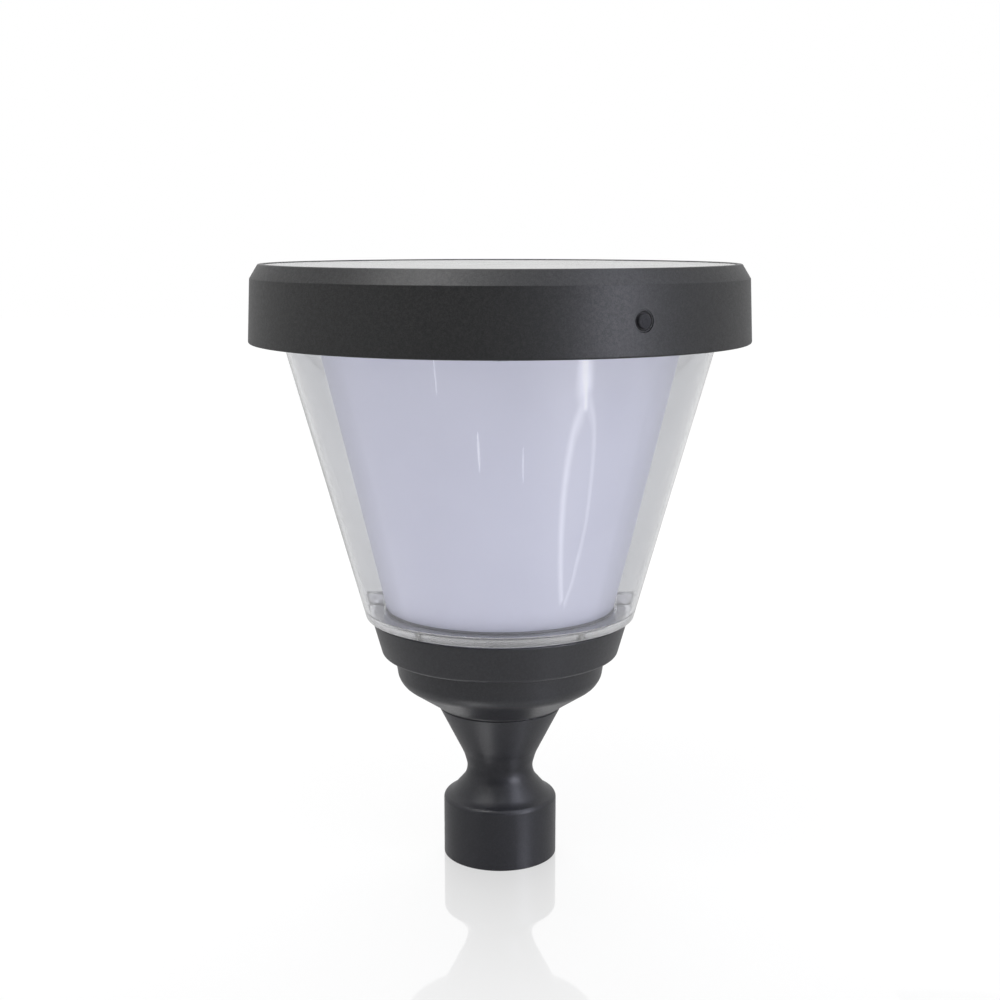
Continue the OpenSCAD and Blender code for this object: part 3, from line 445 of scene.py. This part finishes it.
FROST_TOP = 161.6
LUG_TOP = 168.2
LUG_WIDTH = 7.0
tree = clear_acrylic.node_tree
shader = tree.nodes["Principled BSDF"]
height = add_node(tree, "ShaderNodeSeparateXYZ")
tree.links.new(add_node(tree, "ShaderNodeTexCoord").outputs["Object"], height.inputs["Vector"])
foot = ranged(tree, height.outputs["Z"], 1, 0, (FROST_TOP - 0.6) * MM, FROST_TOP * MM)
below = maths(tree, "LESS_THAN", height.outputs["Z"], LUG_TOP * MM)
beside = maths(tree, "LESS_THAN", maths(tree, "ABSOLUTE", height.outputs["Y"]), (LUG_WIDTH / 2 + 0.1) * MM)
lug = maths(tree, "MULTIPLY", below, beside)
for label, mask, frosted in (
        ("Base Color", foot, (0.97, 0.97, 1, 1)), ("Roughness", foot, (0.2, 0.2, 0.2, 1)),
        ("Base Color", lug, (0.85, 0.85, 0.9, 1)), ("Roughness", lug, (0.3, 0.3, 0.3, 1))):
    blend = add_node(tree, "ShaderNodeMix", data_type="RGBA")
    tree.links.new(mask, blend.inputs["Factor"])
    tree.links.new(shader.inputs[label].links[0].from_socket, blend.inputs[6])
    blend.inputs[7].default_value = frosted
    tree.links.new(blend.outputs[2], shader.inputs[label])
tree.links.new(foot, shader.inputs["Coat Weight"])
shader.inputs["Coat Roughness"].default_value = 0.2
shader.inputs["Coat IOR"].default_value = 1.9

SHADE_RING = 121.5
outer_shade = start_piece("clear_shade", turn_shape([
    (0, 155.5), (82.85, 155.5, 0.9), (131, 329.2, 0.5), (117, 329.2, 0.3), (117, 325.7, 0.3),
    (127.33, 325.7, 1), (81.675, 161, 1.2), (66.5, 161, 0.4), (66.5, 159, 0.3), (0, 159)]))
flange_places = ring_places(SHADE_RING, 6, 30)
combine(outer_shade, [rod_shape(4, 322.2, 327.5, place) for place in flange_places], "UNION")
combine(outer_shade, [rod_shape(2, 323.2, 330, place) for place in flange_places], "DIFFERENCE")
floor_places = ring_places(FLOOR_RING, 4, 45)
combine(outer_shade, [rod_shape(2.25, 154, 160, place) for place in floor_places], "DIFFERENCE")


def lug_shape(side):
    """Centring lug: a block from the wall to the diffuser, with a rounded top edge."""
    shape = bmesh.new()
    corners = [(72.4, 160), (83, 160), (84.9, 168), (72.4, 168)]
    outline = [shape.verts.new((side * x * MM, -LUG_WIDTH / 2 * MM, z * MM)) for x, z in corners]
    face = shape.faces.new(outline)
    grown = bmesh.ops.extrude_face_region(shape, geom=[face], use_keep_orig=True)["geom"]
    far_side = [item for item in grown if isinstance(item, bmesh.types.BMVert)]
    bmesh.ops.translate(shape, verts=far_side, vec=(0, LUG_WIDTH * MM, 0))
    bmesh.ops.recalc_face_normals(shape, faces=shape.faces)
    top = [edge for edge in shape.edges if all(point.co.z > 167 * MM for point in edge.verts)
           and all(abs(point.co.x) < 80 * MM for point in edge.verts)]
    bmesh.ops.bevel(shape, geom=top, offset=1.2 * MM, affect="EDGES", segments=5, profile=0.5, material=-1)
    return shape


combine(outer_shade, [lug_shape(-1), lug_shape(1)], "UNION")
smooth(outer_shade)
fit_piece(outer_shade, clear_acrylic, "clear_acrylic", "lamp", "outer_shade")
outer_shade.visible_shadow = False


# ---- Opal diffuser ----
# Moulded cup of opal acrylic that hides the lamp board and spreads its light. It stands on a grey
# rubber ring on the shade's inner ring, and a black one on its flange presses it down.

def build_opal_cloud():
    """Cloudy drifts and a soft skin, as pigment gives to opal plastic."""
    tree, inward, outward = start_group("opal_cloud", {"Cloud": 0.05, "Skin": 0.0012}, ["Cloud", "Skin"])
    place = add_node(tree, "ShaderNodeTexCoord").outputs["Object"]
    tree.links.new(noise(tree, inward.outputs["Cloud"], 3, place), outward.inputs["Cloud"])
    tree.links.new(noise(tree, inward.outputs["Skin"], 2, place), outward.inputs["Skin"])
    return tree


opal_acrylic, shader, effect = start_material("opal_acrylic", build_opal_cloud())
tree = opal_acrylic.node_tree
tree.links.new(
    tinted(tree, effect.outputs["Cloud"], (0.75, 0.755, 0.925), (0.785, 0.79, 0.96), 0.3, 0.7),
    shader.inputs["Base Color"])
tree.links.new(ranged(tree, effect.outputs["Cloud"], 0.36, 0.44), shader.inputs["Roughness"])
raise_surface(shader, effect.outputs["Skin"], 0.000002)
shader.inputs["IOR"].default_value = 1.49
shader.inputs["Specular IOR Level"].default_value = 0.4

inner_diffuser = start_piece("opal_diffuser", turn_shape([
    (68.3, 161.8, 0.4), (70.5, 161.8, 0.6), (109.98, 325.9, 0.8), (114, 325.9, 0.5), (114, 328.9, 0.5),
    (108.5, 328.9, 0.6), (69.65, 167.4, 3), (0, 167.4), (0, 165.2), (68.3, 165.2, 0.8)]))
smooth(inner_diffuser)
fit_piece(inner_diffuser, opal_acrylic, "opal_acrylic", "lamp", "inner_diffuser")

grey_rubber = moulded("grey_rubber", (0.2, 0.2, 0.24), (0.28, 0.28, 0.33), 0.5)
finish_nodes(grey_rubber, "diffuser_foot_seal")
finish_nodes(black_rubber, "diffuser_top_seal")


# ---- Mounting plate and its seals ----
# Round sheet of rolled aluminium that closes the head and carries the shade, the lamp board, the
# battery and the controller. Rubber rings lie on both sides, and zinc-plated screws go through.

plate_metal = metal("plate_metal", (0.5, 0.51, 0.52), (0.7, 0.71, 0.72), 0.38, Width=0.0003, Length=0.02)
finish_nodes(plate_metal, "mounting_plate")
finish_nodes(black_rubber, "shade_seal", "plate_seal", "lead_grommet")
finish_nodes(zinc_steel, "shade_screws", "plate_screws")


# ---- Lamp board ----
# Aluminium-backed board with white solder mask, three rings of chips under yellow phosphor, and four
# screws. It hangs under the plate, inside the diffuser.

def build_board_traces():
    """Copper tracks under solder mask: raised lanes between cell borders, and the mask's fine grain."""
    tree, inward, outward = start_group("board_traces", {"Pitch": 0.006}, ["Tracks", "Grain", "Height"])
    place = add_node(tree, "ShaderNodeTexCoord").outputs["Object"]
    lanes = add_node(tree, "ShaderNodeTexVoronoi", feature="DISTANCE_TO_EDGE")
    lanes.inputs["Randomness"].default_value = 0.55
    tree.links.new(place, lanes.inputs["Vector"])
    tree.links.new(maths(tree, "DIVIDE", 1.0, inward.outputs["Pitch"]), lanes.inputs["Scale"])
    track = add_node(tree, "ShaderNodeMapRange", interpolation_type="SMOOTHSTEP")
    tree.links.new(lanes.outputs["Distance"], track.inputs["Value"])
    track.inputs["From Min"].default_value = 0.04
    track.inputs["From Max"].default_value = 0.09
    grain = noise(tree, 0.0006, 2, place)
    tree.links.new(track.outputs["Result"], outward.inputs["Tracks"])
    tree.links.new(grain, outward.inputs["Grain"])
    tree.links.new(track.outputs["Result"], outward.inputs["Height"])
    return tree


board_traces = build_board_traces()


def printed_board(name, gap, lane, rough):
    """Circuit board: solder mask over copper lanes."""
    material, shader, effect = start_material(name, board_traces)
    tree = material.node_tree
    tree.links.new(tinted(tree, effect.outputs["Tracks"], gap, lane), shader.inputs["Base Color"])
    worn = ranged(tree, effect.outputs["Grain"], rough - 0.05, rough + 0.05)
    tree.links.new(worn, shader.inputs["Roughness"])
    raise_surface(shader, effect.outputs["Height"], 0.00004)
    return material


white_board = printed_board("white_board", (0.72, 0.72, 0.69), (0.83, 0.83, 0.81), 0.35)
led_phosphor = moulded("led_phosphor", (0.75, 0.6, 0.16), (0.9, 0.78, 0.32), 0.45, 0.0003)
finish_nodes(white_board, "led_board")
finish_nodes(led_phosphor, "led_chips")
finish_nodes(zinc_steel, "led_screws")


# ---- Battery ----
# Four lithium cells in blue shrink sleeve, side by side in a moulded tray, under a steel strap that
# is screwed to the plate.

battery_sleeve = moulded("battery_sleeve", (0.03, 0.11, 0.3), (0.06, 0.2, 0.46), 0.25, 0.002, 0.00005)
black_plastic = moulded("black_plastic", (0.009, 0.009, 0.01), (0.026, 0.026, 0.028), 0.42)
finish_nodes(battery_sleeve, "battery_cells")
finish_nodes(black_plastic, "battery_tray")
finish_nodes(zinc_steel, "battery_strap", "battery_screws")


# ---- Controller ----
# Green charge controller on four nylon spacers, with a coil, a capacitor, a chip and three
# connectors. Pairs of leads join it to the panel, the battery, the switch and the lamp board.

circuit_board = printed_board("circuit_board", (0.008, 0.06, 0.025), (0.018, 0.13, 0.055), 0.3)
white_plastic = moulded("white_plastic", (0.6, 0.6, 0.57), (0.78, 0.78, 0.75), 0.4)
lead_plastic = moulded("lead_plastic", (0.2, 0.015, 0.012), (0.42, 0.04, 0.03), 0.35)
finish_nodes(circuit_board, "controller_board", "switch_board")
finish_nodes(black_plastic, "controller_parts", "junction_box", "button_switch")
finish_nodes(white_plastic, "board_spacers", "switch_plunger")
finish_nodes(zinc_steel, "board_screws", "switch_bracket", "bracket_screws")
finish_nodes(lead_plastic, "inner_leads")


# ---- Head housing ----
# Cast aluminium ring: a bevelled rim round the glass, a slightly drawn skirt, a ledge that carries
# the panel and a land for the plate with six screw bosses. The same sandy powder, a shade coarser.

# The same powder as the collar's, painted darker: painted shade on the head.
head_coat = powder_coat(
    "head_coat", (0.009, 0.0092, 0.0096), (0.024, 0.024, 0.0255), 0.52, 0.0006, 0.00005, 0.3)

BUTTON_HEIGHT = 343.0
BUTTON_TURN = -60
at_button = (
    Matrix.Rotation(math.radians(BUTTON_TURN), 4, "Z")
    @ Matrix.Translation((0, 0, BUTTON_HEIGHT * MM))
    @ Matrix.Rotation(math.pi / 2, 4, "Y"))
PLATE_RING = 142.53
housing = start_piece("head_casting", turn_shape([
    (143.2, 370.1, 1.0), (148.3, 361.7, 0.8), (150, 324.2, 1.1), (147.2, 324.2, 0.6), (146.58, 333.5),
    (138.48, 333.5, 0.3), (138.48, 335.5, 0.4), (146.49, 335.5, 0.8), (145.3, 362.4, 5), (131, 362.4, 0.5),
    (131, 365.4, 0.3), (140.2, 365.4), (140.2, 370.1, 0.5)], 360))
combine(housing, [rod_shape(4.485, 335, 344.2, place) for place in ring_places(PLATE_RING, 6, 30)], "UNION")
combine(housing, [rod_shape(2, 332, 344.7, place) for place in ring_places(PLATE_RING, 6, 30)], "DIFFERENCE")
button_hole = [rod_shape(6.1, 144, 160, at_button, 64), rod_shape(7.3, 136, 146, at_button, 64)]
combine(housing, button_hole, "DIFFERENCE")
smooth(housing)
fit_piece(housing, head_coat, "head_coat", "lamp", "head_housing")


# ---- Solar panel ----
# Round laminate: dark backing sheet, six rows of silicon cells with printed silver lines, and flat
# tempered glass bonded to the housing's ledge by a black ring.

def build_cell_lines():
    """Printed silver lines on a cell: fine fingers across each row and two busbars along it."""
    tree, inward, outward = start_group(
        "cell_lines", {"Finger pitch": 0.0018, "Bar pitch": 0.018}, ["Lines", "Crystal"])
    place = add_node(tree, "ShaderNodeTexCoord").outputs["Object"]
    split = add_node(tree, "ShaderNodeSeparateXYZ")
    tree.links.new(place, split.inputs["Vector"])
    half_finger = maths(tree, "MULTIPLY", inward.outputs["Finger pitch"], 0.5)
    half_bar = maths(tree, "MULTIPLY", inward.outputs["Bar pitch"], 0.5)
    finger = maths(tree, "LESS_THAN", maths(tree, "PINGPONG", split.outputs["X"], half_finger), 0.00006)
    from_bar = maths(tree, "PINGPONG", maths(tree, "ADD", split.outputs["Y"], half_bar), half_bar)
    bar = maths(tree, "LESS_THAN", from_bar, 0.0006)
    tree.links.new(maths(tree, "MAXIMUM", finger, bar), outward.inputs["Lines"])
    tree.links.new(noise(tree, 0.012, 2, place), outward.inputs["Crystal"])
    return tree


solar_cell, shader, effect = start_material("solar_cell", build_cell_lines())
tree = solar_cell.node_tree
blue = tinted(tree, effect.outputs["Crystal"], (0.006, 0.009, 0.022), (0.012, 0.02, 0.05), 0.3, 0.7)
silver = add_node(tree, "ShaderNodeMix", data_type="RGBA")
tree.links.new(effect.outputs["Lines"], silver.inputs["Factor"])
tree.links.new(blue, silver.inputs[6])
silver.inputs[7].default_value = (0.45, 0.46, 0.48, 1)
tree.links.new(silver.outputs[2], shader.inputs["Base Color"])
tree.links.new(ranged(tree, effect.outputs["Crystal"], 0.25, 0.35), shader.inputs["Roughness"])
raise_surface(shader, effect.outputs["Lines"], 0.00002)
finish_nodes(solar_cell, "solar_cells")

backsheet = moulded("backsheet", (0.012, 0.013, 0.016), (0.03, 0.032, 0.037), 0.5, 0.0008)
finish_nodes(backsheet, "panel_backsheet")
finish_nodes(black_rubber, "panel_seal")

panel_glass = clear_plastic(
    "panel_glass", (0.92, 0.94, 0.93), (0.88, 0.905, 0.895), 0.05, 0.02, 0.0000003, 1.5)
glass_disc = start_piece("panel_glass_disc", turn_shape([
    (0, 366.55), (139.9, 366.55, 0.4), (139.9, 369.7, 0.6), (0, 369.7)]))
smooth(glass_disc)
fit_piece(glass_disc, panel_glass, "panel_glass", "lamp", "panel_glass")
glass_disc.visible_shadow = False


# ---- Power button ----
# Soft silicone cap in a dished silicone ring that seals the hole in the skirt. The cap carries a
# raised on-off mark and is pushed in by a finger against the switch behind it.

boot_silicone = moulded("boot_silicone", (0.004, 0.004, 0.005), (0.01, 0.01, 0.012), 0.55, 0.0003)
shape = turn_shape([
    (4.25, 144), (7, 144), (7, 146, 0.2), (6, 146, 0.2), (6, 148.65, 0.4), (5.3, 148.65, 0.3),
    (4.85, 147.9, 0.2), (4.55, 148.35, 0.15), (4.25, 148.35, 0.1)], 96)
bmesh.ops.transform(shape, matrix=at_button, verts=shape.verts)
boot = start_piece("button_ring", shape)
smooth(boot)
fit_piece(boot, boot_silicone, "boot_silicone", "lamp", "button_boot")

button_silicone = moulded(
    "button_silicone", (0.004, 0.004, 0.0055), (0.012, 0.012, 0.016), 0.62, 0.0003, 0.00004, 0.28)
shape = turn_shape([
    (0, 142.5), (6.2, 142.5, 0.2), (6.2, 143.7, 0.2), (4, 143.7), (4, 150.2, 0.9), (0, 150.3)], 96)
bmesh.ops.transform(shape, matrix=at_button, verts=shape.verts)
cap = start_piece("button_cap", shape)

MARK_RADIUS = 1.75
MARK_LINE = 0.5
MARK_TOP = 150.48
mark = start_piece("mark_ring", turn_shape([
    (MARK_RADIUS - MARK_LINE / 2, 149.8), (MARK_RADIUS + MARK_LINE / 2, 149.8),
    (MARK_RADIUS + MARK_LINE / 2, MARK_TOP, 0.12), (MARK_RADIUS - MARK_LINE / 2, MARK_TOP, 0.12)], 64))


def bar_shape(width, low, high, start, end):
    """A bar up the middle of the mark, from start to end above its centre, in millimetres."""
    shape = bmesh.new()
    size = Matrix.Diagonal(((end - start) * MM, width * MM, (high - low) * MM, 1))
    middle = Matrix.Translation((-(start + end) / 2 * MM, 0, (low + high) / 2 * MM))
    bmesh.ops.create_cube(shape, size=1, matrix=middle @ size)
    return shape


combine(mark, [bar_shape(3.2 * MARK_LINE, 149, 151, 0, 3)], "DIFFERENCE")
combine(mark, [bar_shape(MARK_LINE, 149.8, MARK_TOP, 0.3, 2.1)], "UNION")
mark.data.transform(at_button)
raised = bmesh.new()
raised.from_mesh(mark.data)
bpy.data.objects.remove(mark)
combine(cap, [raised], "UNION")
smooth(cap)
fit_piece(cap, button_silicone, "button_silicone", "button", "power_button")


# ---- Studio ----
# White floor with a polish that fades away from the lamp, soft lamps above and beside it, and the
# photograph's camera. Cards and bright cords on the floor are there only to be mirrored in it.

FLOOR_SIZE = 12.0
FLOOR_COLOUR = (0.25, 0.25, 0.25, 1)
GLOW_NEAR = 0.64
GLOW_FAR = 0.76
GLOW_SEEN = 0.18
GLOW_MIRRORED = -0.18
GLOW_THROUGH_SHADE = 0.75
POLISH = 0.34
POLISH_FADE = -6.2
floor_shape = bmesh.new()
bmesh.ops.create_grid(floor_shape, x_segments=1, y_segments=1, size=FLOOR_SIZE / 2)
floor = start_piece("floor", floor_shape)
floor_finish = bpy.data.materials.new("floor_finish")
floor_finish.use_nodes = True
tree = floor_finish.node_tree
tree.nodes.clear()
surface = add_node(tree, "ShaderNodeOutputMaterial")
rays = add_node(tree, "ShaderNodeLightPath")
lit = add_node(tree, "ShaderNodeBsdfDiffuse")
lit.inputs["Color"].default_value = FLOOR_COLOUR
glow = add_node(tree, "ShaderNodeEmission", name="glow")
glow.inputs["Color"].default_value = (1, 1, 1, 1)
where = add_node(tree, "ShaderNodeTexCoord")
reach = add_node(tree, "ShaderNodeVectorMath", operation="LENGTH")
tree.links.new(where.outputs["Object"], reach.inputs[0])
first = maths(tree, "LESS_THAN", rays.outputs["Diffuse Depth"], 0.5)
later = maths(tree, "SUBTRACT", 1.0, first)
passed = maths(tree, "MAXIMUM", rays.outputs["Is Camera Ray"], rays.outputs["Is Transmission Ray"])
bounced = maths(tree, "MULTIPLY", rays.outputs["Is Glossy Ray"], maths(tree, "SUBTRACT", 1.0, passed))
through = maths(tree, "MULTIPLY", rays.outputs["Is Transmission Ray"], later)
strength = ranged(tree, reach.outputs["Value"], GLOW_NEAR, GLOW_FAR, 0.5, 1.3)
for mask, change in ((maths(tree, "MULTIPLY", passed, first), GLOW_SEEN),
                     (maths(tree, "MULTIPLY", bounced, first), GLOW_MIRRORED),
                     (through, GLOW_THROUGH_SHADE)):
    strength = maths(tree, "ADD", strength, maths(tree, "MULTIPLY", mask, change))
tree.links.new(strength, glow.inputs["Strength"])
white = add_node(tree, "ShaderNodeAddShader")
tree.links.new(lit.outputs[0], white.inputs[0])
tree.links.new(glow.outputs[0], white.inputs[1])
polish = add_node(tree, "ShaderNodeBsdfGlossy")
polish.inputs["Color"].default_value = (1, 1, 1, 1)
polish.inputs["Roughness"].default_value = 0.04
fade = maths(tree, "EXPONENT", maths(tree, "MULTIPLY", reach.outputs["Value"], POLISH_FADE))
mixed = add_node(tree, "ShaderNodeMixShader")
tree.links.new(maths(tree, "MULTIPLY", fade, POLISH), mixed.inputs["Fac"])
tree.links.new(white.outputs[0], mixed.inputs[1])
tree.links.new(polish.outputs[0], mixed.inputs[2])
tree.links.new(mixed.outputs[0], surface.inputs["Surface"])
floor.data.materials.append(floor_finish)

AMBIENT = 0.35
studio = bpy.data.worlds.new("studio")
bpy.context.scene.world = studio
studio.use_nodes = True
tree = studio.node_tree
background = tree.nodes["Background"]
background.inputs["Color"].default_value = (1, 1, 1, 1)
rays = add_node(tree, "ShaderNodeLightPath")
seen = maths(tree, "MAXIMUM", rays.outputs["Is Camera Ray"],
             maths(tree, "MAXIMUM", rays.outputs["Is Glossy Ray"], rays.outputs["Is Transmission Ray"]))
direct = maths(tree, "MULTIPLY", seen, maths(tree, "LESS_THAN", rays.outputs["Diffuse Depth"], 0.5))
tree.links.new(
    maths(tree, "ADD", maths(tree, "MULTIPLY", direct, 1 - AMBIENT), AMBIENT), background.inputs["Strength"])


def soft_lamp(name, place, size, power, colour, target=(0, 0, 0.25)):
    """A soft rectangular lamp aimed at the object."""
    data = bpy.data.lights.new(name, "AREA")
    data.shape = "RECTANGLE"
    data.size, data.size_y = size
    data.energy = power
    data.color = colour
    lamp = bpy.data.objects.new(name, data)
    bpy.context.scene.collection.objects.link(lamp)
    lamp.location = place
    lamp.rotation_euler = (Vector(target) - Vector(place)).to_track_quat("-Z", "Y").to_euler()
    lamp.visible_camera = False
    lamp.visible_transmission = False
    return lamp


soft_lamp("top_left_lamp", (-0.9, -0.6, 1.75), (0.9, 0.9), 3.8, (1, 0.99, 0.96))
soft_lamp("top_lamp", (0, -0.8, 1.8), (0.9, 0.9), 4.7, (0.97, 0.98, 1))
soft_lamp("top_right_lamp", (1.27, -0.92, 1.3), (0.35, 1.1), 2.6, (0.8, 0.87, 1))
soft_lamp("back_lamp", (0, 1.2, 1.6), (1.5, 0.6), 14, (1, 1, 1))
soft_lamp("front_lamp", (0, -2.0, 0.25), (1.5, 1.0), 4.2, (1, 0.98, 0.9)).visible_glossy = False


def mirrored_only(piece, strength, colour=(1, 1, 1)):
    """Gives a piece of the studio a plain glow and shows it in reflections alone."""
    glow = bpy.data.materials.new(piece.name)
    glow.use_nodes = True
    tree = glow.node_tree
    tree.nodes.clear()
    light = add_node(tree, "ShaderNodeEmission")
    light.inputs["Color"].default_value = (*colour, 1)
    bounces = add_node(tree, "ShaderNodeLightPath").outputs["Diffuse Depth"]
    direct = maths(tree, "LESS_THAN", bounces, 0.5)
    tree.links.new(maths(tree, "MULTIPLY", direct, strength), light.inputs["Strength"])
    tree.links.new(light.outputs[0], add_node(tree, "ShaderNodeOutputMaterial").inputs["Surface"])
    piece.data.materials.append(glow)
    for kind in ("camera", "diffuse", "transmission", "volume_scatter", "shadow"):
        setattr(piece, "visible_" + kind, False)


def card(name, place, size, strength, target=(0, 0, 0.3), colour=(1, 1, 1)):
    """A flat card that faces the object."""
    shape = bmesh.new()
    turn = (Vector(target) - Vector(place)).to_track_quat("Z", "Y").to_matrix().to_4x4()
    stand = Matrix.Translation(place) @ turn @ Matrix.Diagonal((size[0], size[1], 1, 1))
    bmesh.ops.create_grid(shape, x_segments=1, y_segments=1, size=0.5, matrix=stand)
    piece = start_piece(name, shape)
    mirrored_only(piece, strength, colour)


card("dark_card", (0, -2.2, 0.8), (4, 2.5), 0.24)
card("back_card", (0, 3.0, 0.45), (5, 0.5), 0.77, (0, 0, 0.45))
card("right_card", (1.2, -1.02, 0.4), (0.36, 0.7), 20, colour=(0.95, 0.96, 1.1))
card("right_high_card", (0.95, -0.47, 1.43), (0.4, 0.5), 12.5, colour=(0.95, 0.97, 1.12))
card("top_left_card", (-0.6, -0.45, 1.75), (0.6, 0.6), 21)

SOFT_STEPS = 5


def cord(name, places, strength):
    """A flat bright band on the floor through places (x, y, half width), in millimetres.

    It is laid in steps, each one narrower and brighter than the one below, so its edges are soft.
    """
    for step in range(SOFT_STEPS):
        path = bpy.data.curves.new(name, "CURVE")
        path.dimensions = "3D"
        path.bevel_depth = MM
        path.use_fill_caps = True
        line = path.splines.new("NURBS")
        line.points.add(len(places) - 1)
        for point, (x, y, half_width) in zip(line.points, places):
            point.co = (x * MM, y * MM, 0, 1)
            point.radius = half_width * (1 - step / SOFT_STEPS)
        line.use_endpoint_u = True
        line.order_u = 4
        shaped = bpy.data.objects.new(name, path)
        bpy.context.scene.collection.objects.link(shaped)
        seen = shaped.evaluated_get(bpy.context.evaluated_depsgraph_get())
        piece = bpy.data.objects.new(f"{name}_{step}", bpy.data.meshes.new_from_object(seen))
        bpy.context.scene.collection.objects.link(piece)
        bpy.data.objects.remove(shaped)
        piece.data.transform(Matrix.Translation((0, 0, (3 + step) * MM)) @ Matrix.Diagonal((1, 1, 0.01, 1)))
        mirrored_only(piece, strength * (step + 1) / SOFT_STEPS)


cord("cord_stem", [
    (416, -468, 36), (410, -440, 60), (402, -412, 66), (395, -385, 44), (385, -370, 26)], 7.0)
cord("cord_left", [
    (392, -392, 32), (372, -380, 30), (345, -379, 28), (316, -372, 26), (281, -345, 24),
    (253, -316, 22), (234, -284, 19), (218, -252, 17), (208, -223, 15), (202, -197, 12)], 4.2)
cord("cord_right", [
    (402, -392, 32), (412, -355, 26), (420, -329, 22), (408, -292, 20), (384, -265, 18), (354, -235, 16),
    (322, -211, 15), (291, -201, 14), (265, -197, 12), (242, -187, 10), (207, -188, 8)], 3.0)
cord("glint_far_left", [(-324, -502, 4), (-314, -487, 8), (-304, -472, 8), (-292, -455, 3)], 5.0)
cord("glint_left", [(-98, -460, 4), (-93, -445, 10), (-89, -430, 10), (-83, -412, 3)], 6.0)
cord("glint_right", [(100, -440, 3), (98, -428, 8), (97, -412, 8), (95, -396, 3)], 5.0)

IMAGE_FOCAL = 54.73
camera_data = bpy.data.cameras.new("camera")
camera_data.sensor_width = 36
camera_data.lens = IMAGE_FOCAL
camera = bpy.data.objects.new("camera", camera_data)
bpy.context.scene.collection.objects.link(camera)
camera.location = (0, -0.9191, 0.3886)
camera.rotation_euler = (math.radians(79.99), 0, 0)
bpy.context.scene.camera = camera
bpy.context.scene.view_settings.view_transform = "Standard"
